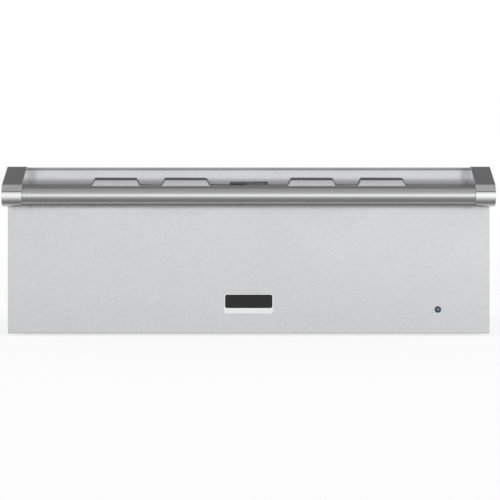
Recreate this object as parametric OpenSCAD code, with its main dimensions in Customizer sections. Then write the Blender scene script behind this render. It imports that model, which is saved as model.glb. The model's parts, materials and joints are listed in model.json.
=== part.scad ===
// Countertop warming drawer: a free-standing insulated case with one full-extension drawer.
// The drawer front has a finger recess with vent louvres behind a tubular handle.
// X runs to the right, Y to the back and Z up. The origin is under the centre of the overall box.
// Inside each module Y is measured from the face of the front panel, and place() shifts it.

/* [Drawer front] */
// Width of the front panel
front_w = 749; // [640:1:820]
// Height of the front panel
front_h = 259; // [250:1:300]
// Depth of the hollow behind the recess wall
front_room = 23; // [20:1:40]
// Sheet thickness of the front panel
skin_t = 1.2; // [0.8:0.1:2]
// Gap under the front panel
front_lift = 4; // [2:1:8]

/* [Finger recess] */
// Height of the recess, from its lower lip to the top of the front
recess_h = 50; // [44:1:56]
// Depth of the recess wall behind the face
recess_d = 43; // [40:1:46]
// Set-back of the top edge behind the face
recess_top_back = 18; // [12:1:24]
// Height of the top hem's edge
hem_h = 1.5; // [1.3:0.1:3]
// Height of the band under the top, hem included
slope_h = 2.7; // [2:0.1:6]
// Radius of the cove between the recess floor and wall
recess_r = 34; // [28:1:36]
// Rise of the recess floor towards the wall
floor_rise = 3; // [0:0.5:5]

/* [Louvres] */
// Distance of the inner louvres from the middle
hood_first = 99.5; // [90:0.5:104]
// Distance between neighbouring louvres
hood_pitch = 110.5; // [100:0.5:116]
// Width of a louvre where it leaves the wall
hood_w = 82; // [74:1:86]
// Width that each louvre loses on each side towards its top
hood_bevel = 8; // [6:0.5:9]
// Width that each louvre loses on each side towards its face
hood_side = 3; // [2:0.5:5]
// How far a louvre's foot stands in front of the recess wall
hood_proud = 7.7; // [7:0.1:8.5]
// How much farther out a louvre's face stands at its foot than at its top
hood_lean = 1.2; // [0.5:0.1:2]
// Height of a louvre's face
hood_face_h = 13; // [12:0.2:14]
// Drop of a louvre's face below the top of the front
hood_drop = 17; // [15:0.2:20]
// Width of one air slot behind a louvre
slot_w = 18; // [14:1:19]
// Height of one air slot
slot_h = 7.5; // [5:0.5:8]

/* [Vent slider] */
// Width of the slider's window
window_w = 60; // [56:1:66]
// Height of the slider's window
window_h = 4.8; // [4:0.2:6]
// Travel of the slider
vent_travel = 19; // [12:1:19]
// Width of the finger tab
tab_w = 25; // [20:1:28]
// Height of the finger tab
tab_h = 2.2; // [1.6:0.2:3.6]
// Thickness of the slider
shutter_t = 1.2; // [0.8:0.1:1.6]

/* [Handle] */
// Diameter of the handle bar
bar_d = 30; // [26:1:32]
// Wall of the handle bar
bar_t = 1.5; // [1:0.1:3]
// Distance from the front face to the bar's axis
bar_out = 46; // [42:1:60]
// Depth of the bar's axis under the top of the front
bar_drop = 46.7; // [44:0.1:50]
// Width of a handle bracket
bracket_w = 30.5; // [24:0.5:34]
// How far a bracket's round end stands over the bar
barrel_rim = 2; // [1:0.5:4]
// Length of the bracket's flat top, in front of the face
bracket_top = 5; // [3:1:8]
// Height over the bar's middle at which a bracket's leaning face starts
nose_low = 5.6; // [4:0.2:8]
// How far a bracket's leaning face leans back at its top
nose_lean = 4.2; // [2:0.2:6]
// Step between a bracket's leaning face and its round front
nose_step = 0.6; // [0.4:0.1:1]
// Squareness of a bracket's round front, where 2 is a circle
nose_square = 2.6; // [2:0.1:3.4]
// Inset of a bracket from the side of the front
bracket_inset = 0.2; // [0:0.1:2]
// Length of the spigot that carries the bar
spigot_l = 12; // [8:1:20]

/* [Badge and indicator] */
// Width of the bare badge plate
badge_w = 77; // [60:1:100]
// Height of the bare badge plate
badge_h = 32; // [24:1:40]
// Thickness of the badge plate
badge_t = 1.8; // [1.6:0.1:3]
// Width of the bright rim around the dark inlay
badge_rim = 1.8; // [1.5:0.1:4]
// Height of the dark inlay
inlay_h = 20.5; // [15:0.5:22]
// Height of the badge's middle over the panel's lower edge
badge_z = 46.2; // [30:0.1:80]
// Distance of the indicator lamp from the right side of the front
lamp_in = 80.5; // [60:0.5:120]
// Height of the indicator lamp over the panel's lower edge
lamp_z = 37.3; // [25:0.1:60]
// Width of the indicator's dark ring
ring_rim = 1.85; // [1.5:0.05:3]
// Diameter of the indicator's lens
lens_d = 6.5; // [5:0.1:7]

/* [Case] */
// Inset of the case's sides behind the sides of the front
case_inset = 12.5; // [8:0.5:20]
// Depth of the case behind the front frame
case_d = 506.8; // [490:0.1:560]
// Sheet thickness of the case
case_t = 1.2; // [0.8:0.1:2]
// Height of the case's top under the top of the front
case_drop = 5; // [3:1:8]
// Gap between the drawer front and the frame
seal_gap = 6; // [5:0.5:8]
// Overhang of the front frame over each side of the case
frame_lap = 4; // [2:1:5]

/* [Feet] */
// Height of the rubber feet
foot_h = 12; // [10:1:15]
// Diameter of the rubber feet
foot_d = 30; // [24:1:40]
// Distance of the feet from the case's sides
foot_in = 42; // [30:1:60]
// Distance of the front feet behind the frame
foot_front = 55; // [45:1:80]
// Distance of the rear feet from the case's back
foot_back = 40; // [30:1:70]

/* [Heated cavity] */
// Thickness of the insulation beside the cavity
side_wool_t = 24.2; // [15:0.1:40]
// Air gap between that insulation and the case's sides
side_air = 5.4; // [4:0.1:10]
// Height of the cavity floor over the case's bottom
cavity_floor = 16; // [15:1:20]
// Depth of the space between the cavity and the case's back
back_room = 35; // [30:1:60]
// Sheet thickness of the cavity liner
liner_t = 1.2; // [0.8:0.1:1.5]

/* [Drawer] */
// Distance of the food pan from each drawer rail
pan_side_gap = 12.3; // [11:0.1:20]
// Distance of the food pan behind the drawer front
pan_front_gap = 26; // [24:1:40]
// Distance of the food pan in front of the cavity's back
pan_back_gap = 25; // [22:1:40]
// Height of the food pan's bottom over the cavity floor
pan_lift = 24; // [22:1:40]
// Wall of the food pan
pan_t = 1; // [0.8:0.1:2]
// Corner radius of the food pan
pan_r = 25; // [15:1:40]
// Width of the food pan's rim
rim_w = 9; // [7:1:10]
// Thickness of the drawer's rails
rail_t = 1.2; // [1:0.1:2]
// Height of the drawer's rails
rail_h = 50; // [46:1:60]

/* [Slides] */
// Thickness of a closed slide, from the cavity wall to the drawer rail
slide_t = 12.7; // [12.5:0.1:13]
// Height of a slide
slide_h = 45; // [42:1:46]
// Distance of the slides in front of the cavity's back
slide_end_gap = 8.8; // [8:0.1:30]
// Sheet thickness of the slide members
member_t = 1.2; // [1:0.1:1.4]

/* [Heating and control] */
// Diameter of the sheathed heating element
element_d = 6.4; // [5:0.1:8]
// Height of the element over the cavity floor
element_z = 12; // [9:0.5:14]
// Distance between the element's runs
element_pitch = 80; // [70:1:84]
// Diameter of the thermostat knob
knob_d = 28; // [24:1:30]
// Length of the thermostat knob
knob_l = 14; // [10:1:15]
// Distance of the knob from the right side of the case
knob_in = 112; // [90:1:140]
// Inner radius of the cable gland
gland_r = 4.25; // [3:0.05:5]
// Distance that the cable gland stands out of the back
gland_out = 14; // [8:1:20]

/* [Hidden] */
$fn = 64;
clear = 0.3;
eps = 0.01;
front_t = recess_d + front_room;
barrel_r = bar_d / 2 + barrel_rim;

front_z0 = front_lift;
front_z1 = front_z0 + front_h;
recess_half = front_w / 2 - bracket_w - bracket_inset;
lip_z = front_z1 - recess_h;
wall_z = front_z1 - slope_h;
arc_steps = 16;
slope_run = recess_d - recess_top_back;
slope_rise = front_z1 - hem_h - wall_z;
slope_ratio = slope_rise / slope_run;
slope_grow = sqrt(1 + slope_ratio * slope_ratio);

hood_x = [-hood_first - hood_pitch, -hood_first, hood_first, hood_first + hood_pitch];
hood_top_z = front_z1 - hood_drop;
hood_low_z = hood_top_z - hood_face_h;
hood_slope = 0.31;
hood_y = recess_d - hood_proud;
slot_z = hood_low_z + slot_h / 2 + 0.5;
slot_x = [for (x = hood_x, side = [-1, 1]) x + side * vent_travel];
window_z = hood_low_z + window_h / 2 + 4;
tab_out = 5;

shutter_y = recess_d + skin_t + clear;
shutter_low = hood_low_z - 4;
shutter_high = hood_top_z;
shutter_end = hood_first + hood_pitch + vent_travel + slot_w / 2 + 6;
guide_t = 1.2;
guide_foot = 4.5;
guide_y = recess_d - 11;
guide_w = 20;
guide_x = [for (side = [-1, 1]) side * (hood_first + hood_pitch / 2)];

bar_z = front_z1 - bar_drop;
bar_half = recess_half - 0.1;
bracket_x = recess_half + bracket_w / 2;
bracket_low = bar_z - barrel_r;
bracket_screw_z = [bracket_low + 14, front_z1 - 16];
bracket_screw_r = 2.5;
bracket_screw_l = 16;
nose_steps = 18;
plate_t = 3;

badge_r = 4.5;
inlay_r = 3;
inlay_t = 0.8;
inlay_w = badge_w - 2 * badge_rim;
inlay_up = (badge_h - inlay_h) / 2 - badge_rim - 0.2;
ring_d = lens_d + 2 * ring_rim;
lamp_x = front_w / 2 - lamp_in;
lamp_hole_r = lens_d / 2 + 0.75;
pipe_r = 2;
lamp_y = 30;
led_in = 24.5;
led_x = front_w / 2 - led_in;

gasket_w = 7;
gasket_in = 0.5;
dial_r = knob_d / 2 + 3;
control_h = gasket_in + gasket_w + 2 * dial_r + 2.5;

frame_y = front_t + seal_gap;
case_y = frame_y + case_t;
case_half = front_w / 2 - case_inset;
frame_half = case_half + frame_lap;
case_z0 = foot_h;
case_z1 = front_z1 - case_drop;
case_end = case_y + case_d;
cavity_half = case_half - case_t - side_air - side_wool_t - liner_t;
cavity_w = 2 * cavity_half;
cavity_z0 = case_z0 + cavity_floor;
cavity_z1 = case_z1 - control_h;
cavity_h = cavity_z1 - cavity_z0;
cavity_end = case_end - back_room;
wool_half = cavity_half + liner_t + side_wool_t;
wool_y = case_y + 3 * case_t;
wool_top = case_z1 - case_t - 8;
flange = 15;
side_flange = 9;
base_flange = cavity_floor - liner_t - clear;

back_y = front_t - skin_t;
gasket_t = seal_gap - clear;
knob_x = case_half - knob_in;
knob_z = case_z1 - 2 - dial_r;
pocket_r = knob_d / 2 + 6;
pocket_d = knob_l - seal_gap + 5;
pocket_t = 1;
shaft_r = 3;
insul_top = lip_z - 22;
insul_y = 8;

slide_z = cavity_z1 - 16.5 - slide_h / 2;
slide_y = case_y + 3;
slide_l = cavity_end - slide_end_gap - slide_y;
outer_x = cavity_half - slide_t;
ball_gap = 2.3;
middle_h = slide_h - 2 * member_t - 2 * ball_gap;
race_gap = 2.8;
inner_h = middle_h - 2 * member_t - 2 * race_gap;
middle_web_x = cavity_half - member_t - 3;
middle_lip_x = outer_x + 1.7;
outer_lip_x = outer_x + 1.7;
inner_lip_x = middle_web_x - member_t - 1;
inner_y = front_t + 2;

rail_z1 = cavity_z1 - 14;
rail_out = outer_x;
rail_in = rail_out - rail_t;
rail_end = inner_y + slide_l + 5;
ledge_w = pan_side_gap - 0.7;
pan_w = 2 * (rail_out - pan_side_gap);
pan_y = front_t + pan_front_gap;
pan_l = cavity_end - pan_back_gap - pan_y;
pan_z0 = cavity_z0 + pan_lift;
pan_h = rail_z1 - pan_z0;

element_runs = 6;
element_front = case_y + 40;
element_back = cavity_end - 45;
element_h = cavity_z0 + element_z;
element_r = element_d / 2;
clip_in = 60;
lead_out = 20;
element_end_x = element_pitch * (element_runs - 1) / 2;
bulb_r = 3;
bulb_l = 90;
bulb_x = cavity_half - 8;
bulb_z = cavity_z0 + 72;
bulb_front = 200;
capillary_r = 1;
capillary_x = cavity_half + 15;
capillary_y = case_y + bulb_front;
capillary_room = 4;
cutout_z = cavity_z0 + 110;
cutout_room_w = 20;
cutout_room_h = 14;
thermostat_l = 30;
thermostat_w = 34;
terminal_l = 8;

foot_x = case_half - foot_in;
foot_y = [case_y + foot_front, case_end - foot_back];
mount_in = 112;
mount_front = 57;
mount_back = 70;
mount_x = case_half - mount_in;
mount_y = [case_y + mount_front, case_end - mount_back];
mount_r = 2.75;
screw_r = 1.9;
screw_hole_r = 2.1;
screw_head_r = 3.6;
screw_head_h = 2;
frame_screw_x = case_half - 5;
back_screw_x = [-case_half + 40, -80, 80, case_half - 40];
side_screw_y = [case_y + 80, (case_y + case_end) / 2, case_end - 80];
frame_screw_z = [case_z0 + 48, (case_z0 + case_z1) / 2, case_z1 - 48];
slide_screw_y = [slide_y + 40, slide_y + slide_l - 40];
rail_screw_x = rail_out - 14;
rail_screw_z = [rail_z1 - rail_h + 10, rail_z1 - 18];

gland_in = 62;
gland_x = case_half - gland_in;
gland_z = case_z0 + 50;
gland_body_r = 9;
back_reach = case_end + gland_out;
front_y = (bar_out + barrel_r - back_reach) / 2;

steel = [0.76, 0.77, 0.78];
dark_steel = [0.5, 0.51, 0.52];
chrome = [0.85, 0.86, 0.88];
glossy_black = [0.05, 0.05, 0.06];
rubber_black = [0.1, 0.1, 0.1];
wool = [0.86, 0.82, 0.68];

// Shared helpers

module place() {
    translate([0, front_y, 0]) children();
}

// A flat outline in Y and Z, drawn out along X about the middle
module along_x(length) {
    rotate([90, 0, 90]) linear_extrude(length, center = true) children();
}

// A flat outline in X and Z, drawn out towards the back from the plane y
module along_y(y, length) {
    translate([0, y + length, 0]) rotate([90, 0, 0]) linear_extrude(length) children();
}

module rounded(w, h, r) {
    square([w - 2 * r, h], center = true);
    square([w, h - 2 * r], center = true);
    for (x = [-1, 1], y = [-1, 1])
        translate([x * (w / 2 - r), y * (h / 2 - r)]) circle(r);
}

// A box given by its lowest and highest corners
module block(low, high) {
    translate(low) cube(high - low);
}

module both_sides() {
    for (side = [0, 1]) mirror([side, 0, 0]) children();
}

// A screw along +Y: its head is in front of the origin and its shank behind
module screw(length, r, head_r, head_h) {
    rotate([-90, 0, 0]) cylinder(h = length, r = r);
    rotate([90, 0, 0]) cylinder(h = head_h, r = head_r);
}

module rod(from, to, r) {
    span = to - from;
    length = norm(span);
    translate(from)
        rotate([0, acos(span[2] / length), atan2(span[1], span[0])])
            cylinder(h = length, r = r);
}

// A bent wire through the given points, with round corners
module wire(points, r) {
    for (i = [1 : len(points) - 1]) rod(points[i - 1], points[i], r);
    for (i = [1 : len(points) - 2]) translate(points[i]) sphere(r);
}

// Drawer front

function arc(centre, r, from, to, steps) =
    [for (i = [0 : steps]) centre + r * [cos(from + (to - from) * i / steps),
                                         sin(from + (to - from) * i / steps)]];

// The recess seen from the side, grown by g into the sheet around it
module recess_outline(g) {
    top = front_z1 + 2;
    polygon(concat(
        [[-1, top], [-1, lip_z - g]],
        arc([recess_d - recess_r, lip_z + floor_rise + recess_r], recess_r + g, -90, 0, arc_steps),
        [[recess_d + g, wall_z - slope_ratio * g + slope_grow * g],
         [recess_top_back, front_z1 - hem_h + slope_grow * g],
         [recess_top_back, top]]));
}

module recess(g) {
    along_x(2 * (recess_half + g)) recess_outline(g);
}

// One louvre about x = 0, its faces moved inwards by s
module hood(s) {
    rise = hood_proud + 1;
    half = hood_w / 2 - s;
    bevel_z = hood_top_z + hood_slope * (hood_proud - hood_lean);
    intersection() {
        along_x(hood_w) polygon([[hood_y + s, hood_low_z - s], [recess_d + eps, hood_low_z - s],
                                 [recess_d + eps, bevel_z - s],
                                 [hood_y + hood_lean + s, hood_top_z - s]]);
        along_y(hood_y, hood_proud + 1)
            polygon([[-half, hood_low_z - 2], [half, hood_low_z - 2],
                     [half - hood_bevel, hood_top_z + rise * hood_slope],
                     [-half + hood_bevel, hood_top_z + rise * hood_slope]]);
        translate([0, 0, hood_low_z - 2])
            linear_extrude(hood_face_h + 2 * rise)
                polygon([[-half + hood_side, hood_y], [half - hood_side, hood_y],
                         [half, recess_d + 1], [-half, recess_d + 1]]);
    }
}

module front_skin() {
    color(steel) place() difference() {
        union() {
            difference() {
                block([-front_w / 2, 0, front_z0], [front_w / 2, front_t, front_z1]);
                recess(0);
                difference() {
                    block([-front_w / 2 + skin_t, skin_t, front_z0 + skin_t],
                          [front_w / 2 - skin_t, front_t + 1, front_z1 - skin_t]);
                    recess(skin_t);
                }
            }
            intersection() {
                for (x = hood_x) translate([x, 0, 0]) hood(0);
                recess(skin_t / 2);
            }
        }
        intersection() {
            for (x = hood_x) translate([x, 0, 0]) hood(skin_t);
            recess(0);
        }
        for (x = slot_x)
            block([x - slot_w / 2, hood_y + hood_lean + skin_t, slot_z - slot_h / 2],
                  [x + slot_w / 2, recess_d + 2 * skin_t, slot_z + slot_h / 2]);
        block([-window_w / 2, recess_d - tab_out, window_z - window_h / 2],
              [window_w / 2, recess_d + 2 * skin_t, window_z + window_h / 2]);
        translate([lamp_x, -1, front_z0 + lamp_z]) rotate([-90, 0, 0])
            cylinder(h = 2 + skin_t, r = lamp_hole_r);
        both_sides() for (z = bracket_screw_z)
            translate([bracket_x, -1, z]) rotate([-90, 0, 0])
                cylinder(h = 2 + skin_t, r = bracket_screw_r + 0.2);
    }
}

module front_inner_panel() {
    half = front_w / 2 - skin_t - clear;
    low = front_z0 + skin_t + clear;
    high = front_z1 - skin_t - clear;
    vent_pitch = 40;
    color(dark_steel) place() difference() {
        union() {
            block([-half, back_y, low], [half, front_t, high]);
            translate([knob_x, back_y - pocket_d, knob_z]) rotate([-90, 0, 0])
                cylinder(h = pocket_d, r = pocket_r + pocket_t);
        }
        translate([knob_x, back_y - pocket_d + pocket_t, knob_z]) rotate([-90, 0, 0])
            cylinder(h = pocket_d + 2, r = pocket_r);
        translate([led_x, back_y - 1, front_z0 + lamp_z]) rotate([-90, 0, 0])
            cylinder(h = 2 + skin_t, r = pipe_r + 1.5);
        for (i = [-6 : 6])
            block([i * vent_pitch - 12, back_y - 1, rail_z1 + 3],
                  [i * vent_pitch + 12, front_t + 1, rail_z1 + 8]);
    }
}

module front_insulation() {
    half = front_w / 2 - skin_t - 6;
    low = front_z0 + skin_t;
    room = pipe_r + 2;
    pipe_z = front_z0 + lamp_z;
    color(wool) place() difference() {
        block([-half, insul_y, low], [half, back_y, insul_top]);
        block([lamp_x - room, insul_y - 1, pipe_z - room],
              [led_x + room, back_y + 1, pipe_z + room]);
    }
}

module door_gasket() {
    inner_w = cavity_w + 2 * gasket_in;
    inner_h_open = cavity_h + 2 * gasket_in;
    mid_z = (cavity_z0 + cavity_z1) / 2;
    color(rubber_black) place() difference() {
        translate([0, 0, mid_z]) along_y(front_t, gasket_t)
            rounded(inner_w + 2 * gasket_w, inner_h_open + 2 * gasket_w, gasket_w);
        translate([0, 0, mid_z]) along_y(front_t - 1, gasket_t + 2)
            square([inner_w, inner_h_open], center = true);
    }
}

module vent_shutter() {
    hole_low = window_z - window_h / 2 + 0.4;
    hole_high = window_z + window_h / 2 - 0.4;
    tab_x = -window_w / 2 + 0.5;
    hole_x = tab_x + tab_w + 15;
    color(steel) place() difference() {
        union() {
            block([-shutter_end, shutter_y, shutter_low],
                  [shutter_end, shutter_y + shutter_t, shutter_high]);
            block([tab_x, recess_d - tab_out, window_z - tab_h / 2],
                  [tab_x + tab_w, shutter_y + eps, window_z + tab_h / 2]);
        }
        for (x = slot_x)
            block([x - slot_w / 2, shutter_y - 1, slot_z - slot_h / 2],
                  [x + slot_w / 2, shutter_y + shutter_t + 1, slot_z + slot_h / 2]);
        block([hole_x, shutter_y - 1, hole_low],
              [hole_x + vent_travel + 1, shutter_y + shutter_t + 1, hole_high]);
    }
}

module shutter_guides() {
    y1 = shutter_y + shutter_t + clear;
    low = shutter_low - clear - guide_foot;
    color(dark_steel) place() for (x = guide_x)
        translate([x, 0, 0]) along_x(guide_w) difference() {
            polygon([[guide_y, low], [y1 + guide_t, low], [y1 + guide_t, shutter_high + clear + guide_t],
                     [shutter_y, shutter_high + clear + guide_t], [shutter_y, shutter_high + clear],
                     [y1, shutter_high + clear], [y1, shutter_low - clear],
                     [guide_y, shutter_low - clear]]);
            recess_outline(skin_t);
        }
}

// Handle

module handle_bar() {
    color(chrome) place() translate([0, -bar_out, bar_z]) rotate([0, 90, 0]) difference() {
        cylinder(h = 2 * bar_half, r = bar_d / 2, center = true);
        cylinder(h = 2 * bar_half + 2, r = bar_d / 2 - bar_t, center = true);
    }
}

// A point of a bracket's round front, from 0 at its middle to 90 at its underside
function nose_point(turn) =
    [-bar_out - barrel_r * pow(cos(turn), 2 / nose_square),
     bar_z - barrel_r * sign(turn) * pow(sin(abs(turn)), 2 / nose_square)];

module handle_bracket() {
    start = -asin(pow(nose_low / barrel_r, nose_square / 2));
    face_y = nose_point(start)[0] + nose_step;
    turns = [for (step = [0:nose_steps]) start + (90 - start) * step / nose_steps];
    color(chrome) place() difference() {
        union() {
            translate([bracket_x, 0, 0]) along_x(bracket_w)
                polygon(concat([[0, front_z1], [-bracket_top, front_z1],
                                [face_y + nose_lean, bar_z + barrel_r - nose_step],
                                [face_y, bar_z + nose_low]],
                               [for (turn = turns) nose_point(turn)],
                               [[0, bracket_low]]));
            translate([recess_half - spigot_l, -bar_out, bar_z]) rotate([0, 90, 0])
                cylinder(h = spigot_l + 1, r = bar_d / 2 - bar_t - 0.1);
        }
        for (z = bracket_screw_z)
            translate([bracket_x, -bracket_screw_l, z]) rotate([-90, 0, 0])
                cylinder(h = bracket_screw_l + 1, r = bracket_screw_r + 0.1);
    }
}

module handle_bracket_left() {
    mirror([1, 0, 0]) handle_bracket();
}

module handle_bracket_right() {
    handle_bracket();
}

module bracket_screws() {
    length = bracket_screw_l - 1 + skin_t + plate_t;
    color(chrome) place() both_sides() for (z = bracket_screw_z)
        translate([bracket_x, skin_t + plate_t, z]) mirror([0, 1, 0])
            screw(length, bracket_screw_r, 2 * bracket_screw_r, 3);
}

module bracket_plates() {
    low = bracket_screw_z[0] - 10;
    high = bracket_screw_z[1] + 10;
    color(dark_steel) place() both_sides() difference() {
        block([recess_half + skin_t + 1, skin_t, low],
              [front_w / 2 - skin_t - 1, skin_t + plate_t, high]);
        for (z = bracket_screw_z)
            translate([bracket_x, 0, z]) rotate([-90, 0, 0])
                cylinder(h = 3 * plate_t, r = bracket_screw_r + 0.1);
    }
}

// Badge and indicator

module badge_plate() {
    color(chrome) place() translate([0, 0, front_z0 + badge_z]) difference() {
        along_y(-badge_t, badge_t) rounded(badge_w, badge_h, badge_r);
        translate([0, 0, inlay_up]) along_y(-badge_t - 1, 1 + inlay_t)
            rounded(inlay_w, inlay_h, inlay_r);
    }
}

module badge_inlay() {
    color(glossy_black) place() translate([0, 0, front_z0 + badge_z + inlay_up])
        along_y(-badge_t, inlay_t) rounded(inlay_w - 0.1, inlay_h - 0.1, inlay_r);
}

module indicator_ring() {
    color(glossy_black) place() translate([lamp_x, 0, front_z0 + lamp_z]) rotate([-90, 0, 0])
        difference() {
            union() {
                translate([0, 0, -1.5]) cylinder(h = 1.5, r = ring_d / 2);
                cylinder(h = 6, r = lamp_hole_r - 0.1);
            }
            translate([0, 0, -2]) cylinder(h = 9, r = lens_d / 2 + 0.05);
        }
}

module indicator_lens() {
    color("royalblue") place() translate([lamp_x, 0, front_z0 + lamp_z]) rotate([-90, 0, 0])
        translate([0, 0, -1.2]) cylinder(h = 6, r = lens_d / 2);
}

module light_pipe() {
    z = front_z0 + lamp_z;
    color("lightblue") place()
        wire([[lamp_x, 4.8, z], [lamp_x, lamp_y, z], [led_x, lamp_y, z],
              [led_x, front_t - 0.5, z]], pipe_r);
}

// Drawer

module drawer_rail() {
    color(steel) place() difference() {
        union() {
            block([rail_in, front_t, rail_z1 - rail_h], [rail_out, rail_end, rail_z1]);
            block([rail_out - ledge_w, front_t, rail_z1 - rail_t], [rail_out, rail_end, rail_z1]);
            block([rail_out - 25, front_t, rail_z1 - rail_h],
                  [rail_out, front_t + rail_t, rail_z1 - 10]);
        }
        for (z = rail_screw_z)
            translate([rail_screw_x, front_t - 1, z]) rotate([-90, 0, 0])
                cylinder(h = 2 * rail_t + 2, r = screw_hole_r);
    }
}

module drawer_rail_left() {
    mirror([1, 0, 0]) drawer_rail();
}

module drawer_rail_right() {
    drawer_rail();
}

module drawer_rail_front() {
    half = rail_out - ledge_w - clear;
    color(steel) place() union() {
        block([-half, front_t, rail_z1 - 8], [half, front_t + rail_t, rail_z1]);
        block([-half, front_t, rail_z1 - rail_t], [half, pan_y - 1, rail_z1]);
    }
}

module drawer_rail_back() {
    color(steel) place() union() {
        block([-rail_in, rail_end - rail_t, rail_z1 - rail_h], [rail_in, rail_end, rail_z1 - rail_t]);
        block([-rail_out + ledge_w, pan_y + pan_l + 1.5, rail_z1 - rail_t],
              [rail_out - ledge_w, rail_end, rail_z1]);
    }
}

module rail_screws() {
    color(chrome) place() both_sides() for (z = rail_screw_z)
        translate([rail_screw_x, front_t + rail_t, z]) mirror([0, 1, 0])
            screw(rail_t, screw_r, screw_head_r, screw_head_h);
}

module food_pan() {
    mid_y = pan_y + pan_l / 2;
    color(chrome) place() translate([0, mid_y, 0]) difference() {
        union() {
            translate([0, 0, pan_z0]) linear_extrude(pan_h) rounded(pan_w, pan_l, pan_r);
            translate([0, 0, rail_z1]) linear_extrude(pan_t)
                rounded(pan_w + 2 * rim_w, pan_l + 2 * rim_w, pan_r + rim_w);
        }
        translate([0, 0, pan_z0 + pan_t]) linear_extrude(pan_h + 2)
            rounded(pan_w - 2 * pan_t, pan_l - 2 * pan_t, pan_r - pan_t);
    }
}

module wire_rack() {
    rod_r = 2.5;
    wire_r = 1.5;
    rack_gap = 16;
    half_x = pan_w / 2 - rack_gap;
    half_y = pan_l / 2 - rack_gap;
    foot_top = pan_z0 + pan_t + 9;
    corner = pan_r - 8;
    wires = 20;
    step = 2 * (half_x - corner) / (wires - 1);
    mid_y = pan_y + pan_l / 2;
    color(chrome) place() translate([0, mid_y, foot_top]) union() {
        for (side = [-1, 1]) {
            rod([-half_x + corner, side * half_y, 0], [half_x - corner, side * half_y, 0], rod_r);
            rod([side * half_x, -half_y + corner, 0], [side * half_x, half_y - corner, 0], rod_r);
            rod([-half_x, side * half_y / 3, 0], [half_x, side * half_y / 3, 0], rod_r);
            for (up = [-1, 1]) {
                translate([side * (half_x - corner), up * (half_y - corner), 0])
                    rotate([0, 0, (side > 0 ? 0 : 180) + (side * up > 0 ? 0 : -90)])
                        rotate_extrude(angle = 90) translate([corner, 0]) circle(rod_r);
                translate([side * (half_x - 60), up * half_y / 3, -9])
                    cylinder(h = 9, r = rod_r);
            }
        }
        for (i = [0 : wires - 1])
            rod([-half_x + corner + i * step, -half_y, 2.2],
                [-half_x + corner + i * step, half_y, 2.2], wire_r);
    }
}

// Slides: three nested channels on each side

// A channel seen from the front: its web stands at web_x and its lips reach to lip_x
module channel(web_x, lip_x, h, y, length) {
    thick = lip_x > web_x ? member_t : -member_t;
    color(steel) place() for (up = [-1, 0, 1])
        if (up == 0)
            block([min(web_x, web_x + thick), y, slide_z - h / 2],
                  [max(web_x, web_x + thick), y + length, slide_z + h / 2]);
        else
            block([min(web_x, lip_x), y, slide_z + up * (h - member_t) / 2 - member_t / 2],
                  [max(web_x, lip_x), y + length, slide_z + up * (h - member_t) / 2 + member_t / 2]);
}

module slide_inner_right() {
    channel(outer_x, inner_lip_x, inner_h, inner_y, slide_l);
}

module slide_inner_left() {
    mirror([1, 0, 0]) slide_inner_right();
}

module slide_middle_right() {
    channel(middle_web_x, middle_lip_x, middle_h, slide_y + 1, slide_l - 4);
}

module slide_middle_left() {
    mirror([1, 0, 0]) slide_middle_right();
}

module slide_outer_right() {
    difference() {
        channel(cavity_half, outer_lip_x, slide_h, slide_y, slide_l);
        place() for (y = slide_screw_y) translate([cavity_half - 2 * member_t, y, slide_z])
            rotate([0, 90, 0]) cylinder(h = 3 * member_t, r = screw_hole_r);
    }
}

module slide_outer_left() {
    mirror([1, 0, 0]) slide_outer_right();
}

// Ball rows: the rear rows run in the outer member and the front rows carry the inner one
module slide_balls_right() {
    reach = slide_l - 4;
    color(dark_steel) place() for (up = [-1, 1]) {
        outer_low = slide_z + up * middle_h / 2;
        inner_low = slide_z + up * (middle_h / 2 - member_t);
        block([middle_lip_x + 1, slide_y + reach / 2, min(outer_low, outer_low + up * (ball_gap - clear))],
              [middle_web_x - 1, slide_y + reach - 2, max(outer_low, outer_low + up * (ball_gap - clear))]);
        block([middle_lip_x + 1, slide_y + 4, min(inner_low, inner_low - up * (race_gap - clear))],
              [inner_lip_x - 0.5, slide_y + reach / 2 - 8,
               max(inner_low, inner_low - up * (race_gap - clear))]);
    }
}

module slide_balls_left() {
    mirror([1, 0, 0]) slide_balls_right();
}

module slide_screws() {
    color(chrome) place() both_sides() for (y = slide_screw_y)
        translate([cavity_half - member_t, y, slide_z]) rotate([0, 0, -90])
            screw(member_t + liner_t + 4, screw_r, screw_head_r, 1.2);
}

// Case

module front_frame() {
    mid_z = (cavity_z0 + cavity_z1) / 2;
    led_z = front_z0 + lamp_z;
    color(steel) place() difference() {
        block([-frame_half, frame_y, case_z0], [frame_half, case_y, case_z1]);
        translate([0, 0, mid_z]) along_y(frame_y - 1, case_t + 2)
            square([cavity_w, cavity_h], center = true);
        translate([knob_x, frame_y - 1, knob_z]) rotate([-90, 0, 0])
            cylinder(h = case_t + 2, r = shaft_r + 1);
        translate([led_x, frame_y - 1, led_z]) rotate([-90, 0, 0])
            cylinder(h = case_t + 2, r = 2.6);
        both_sides() for (z = frame_screw_z)
            translate([frame_screw_x, frame_y - 1, z]) rotate([-90, 0, 0])
                cylinder(h = case_t + 2, r = screw_hole_r);
    }
}

module frame_bumpers() {
    color(rubber_black) place() both_sides() for (z = [case_z0 + 8, case_z1 - 8])
        translate([frame_half - 18, front_t + clear, z]) rotate([-90, 0, 0])
            cylinder(h = seal_gap - clear, r = 4);
}

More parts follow.
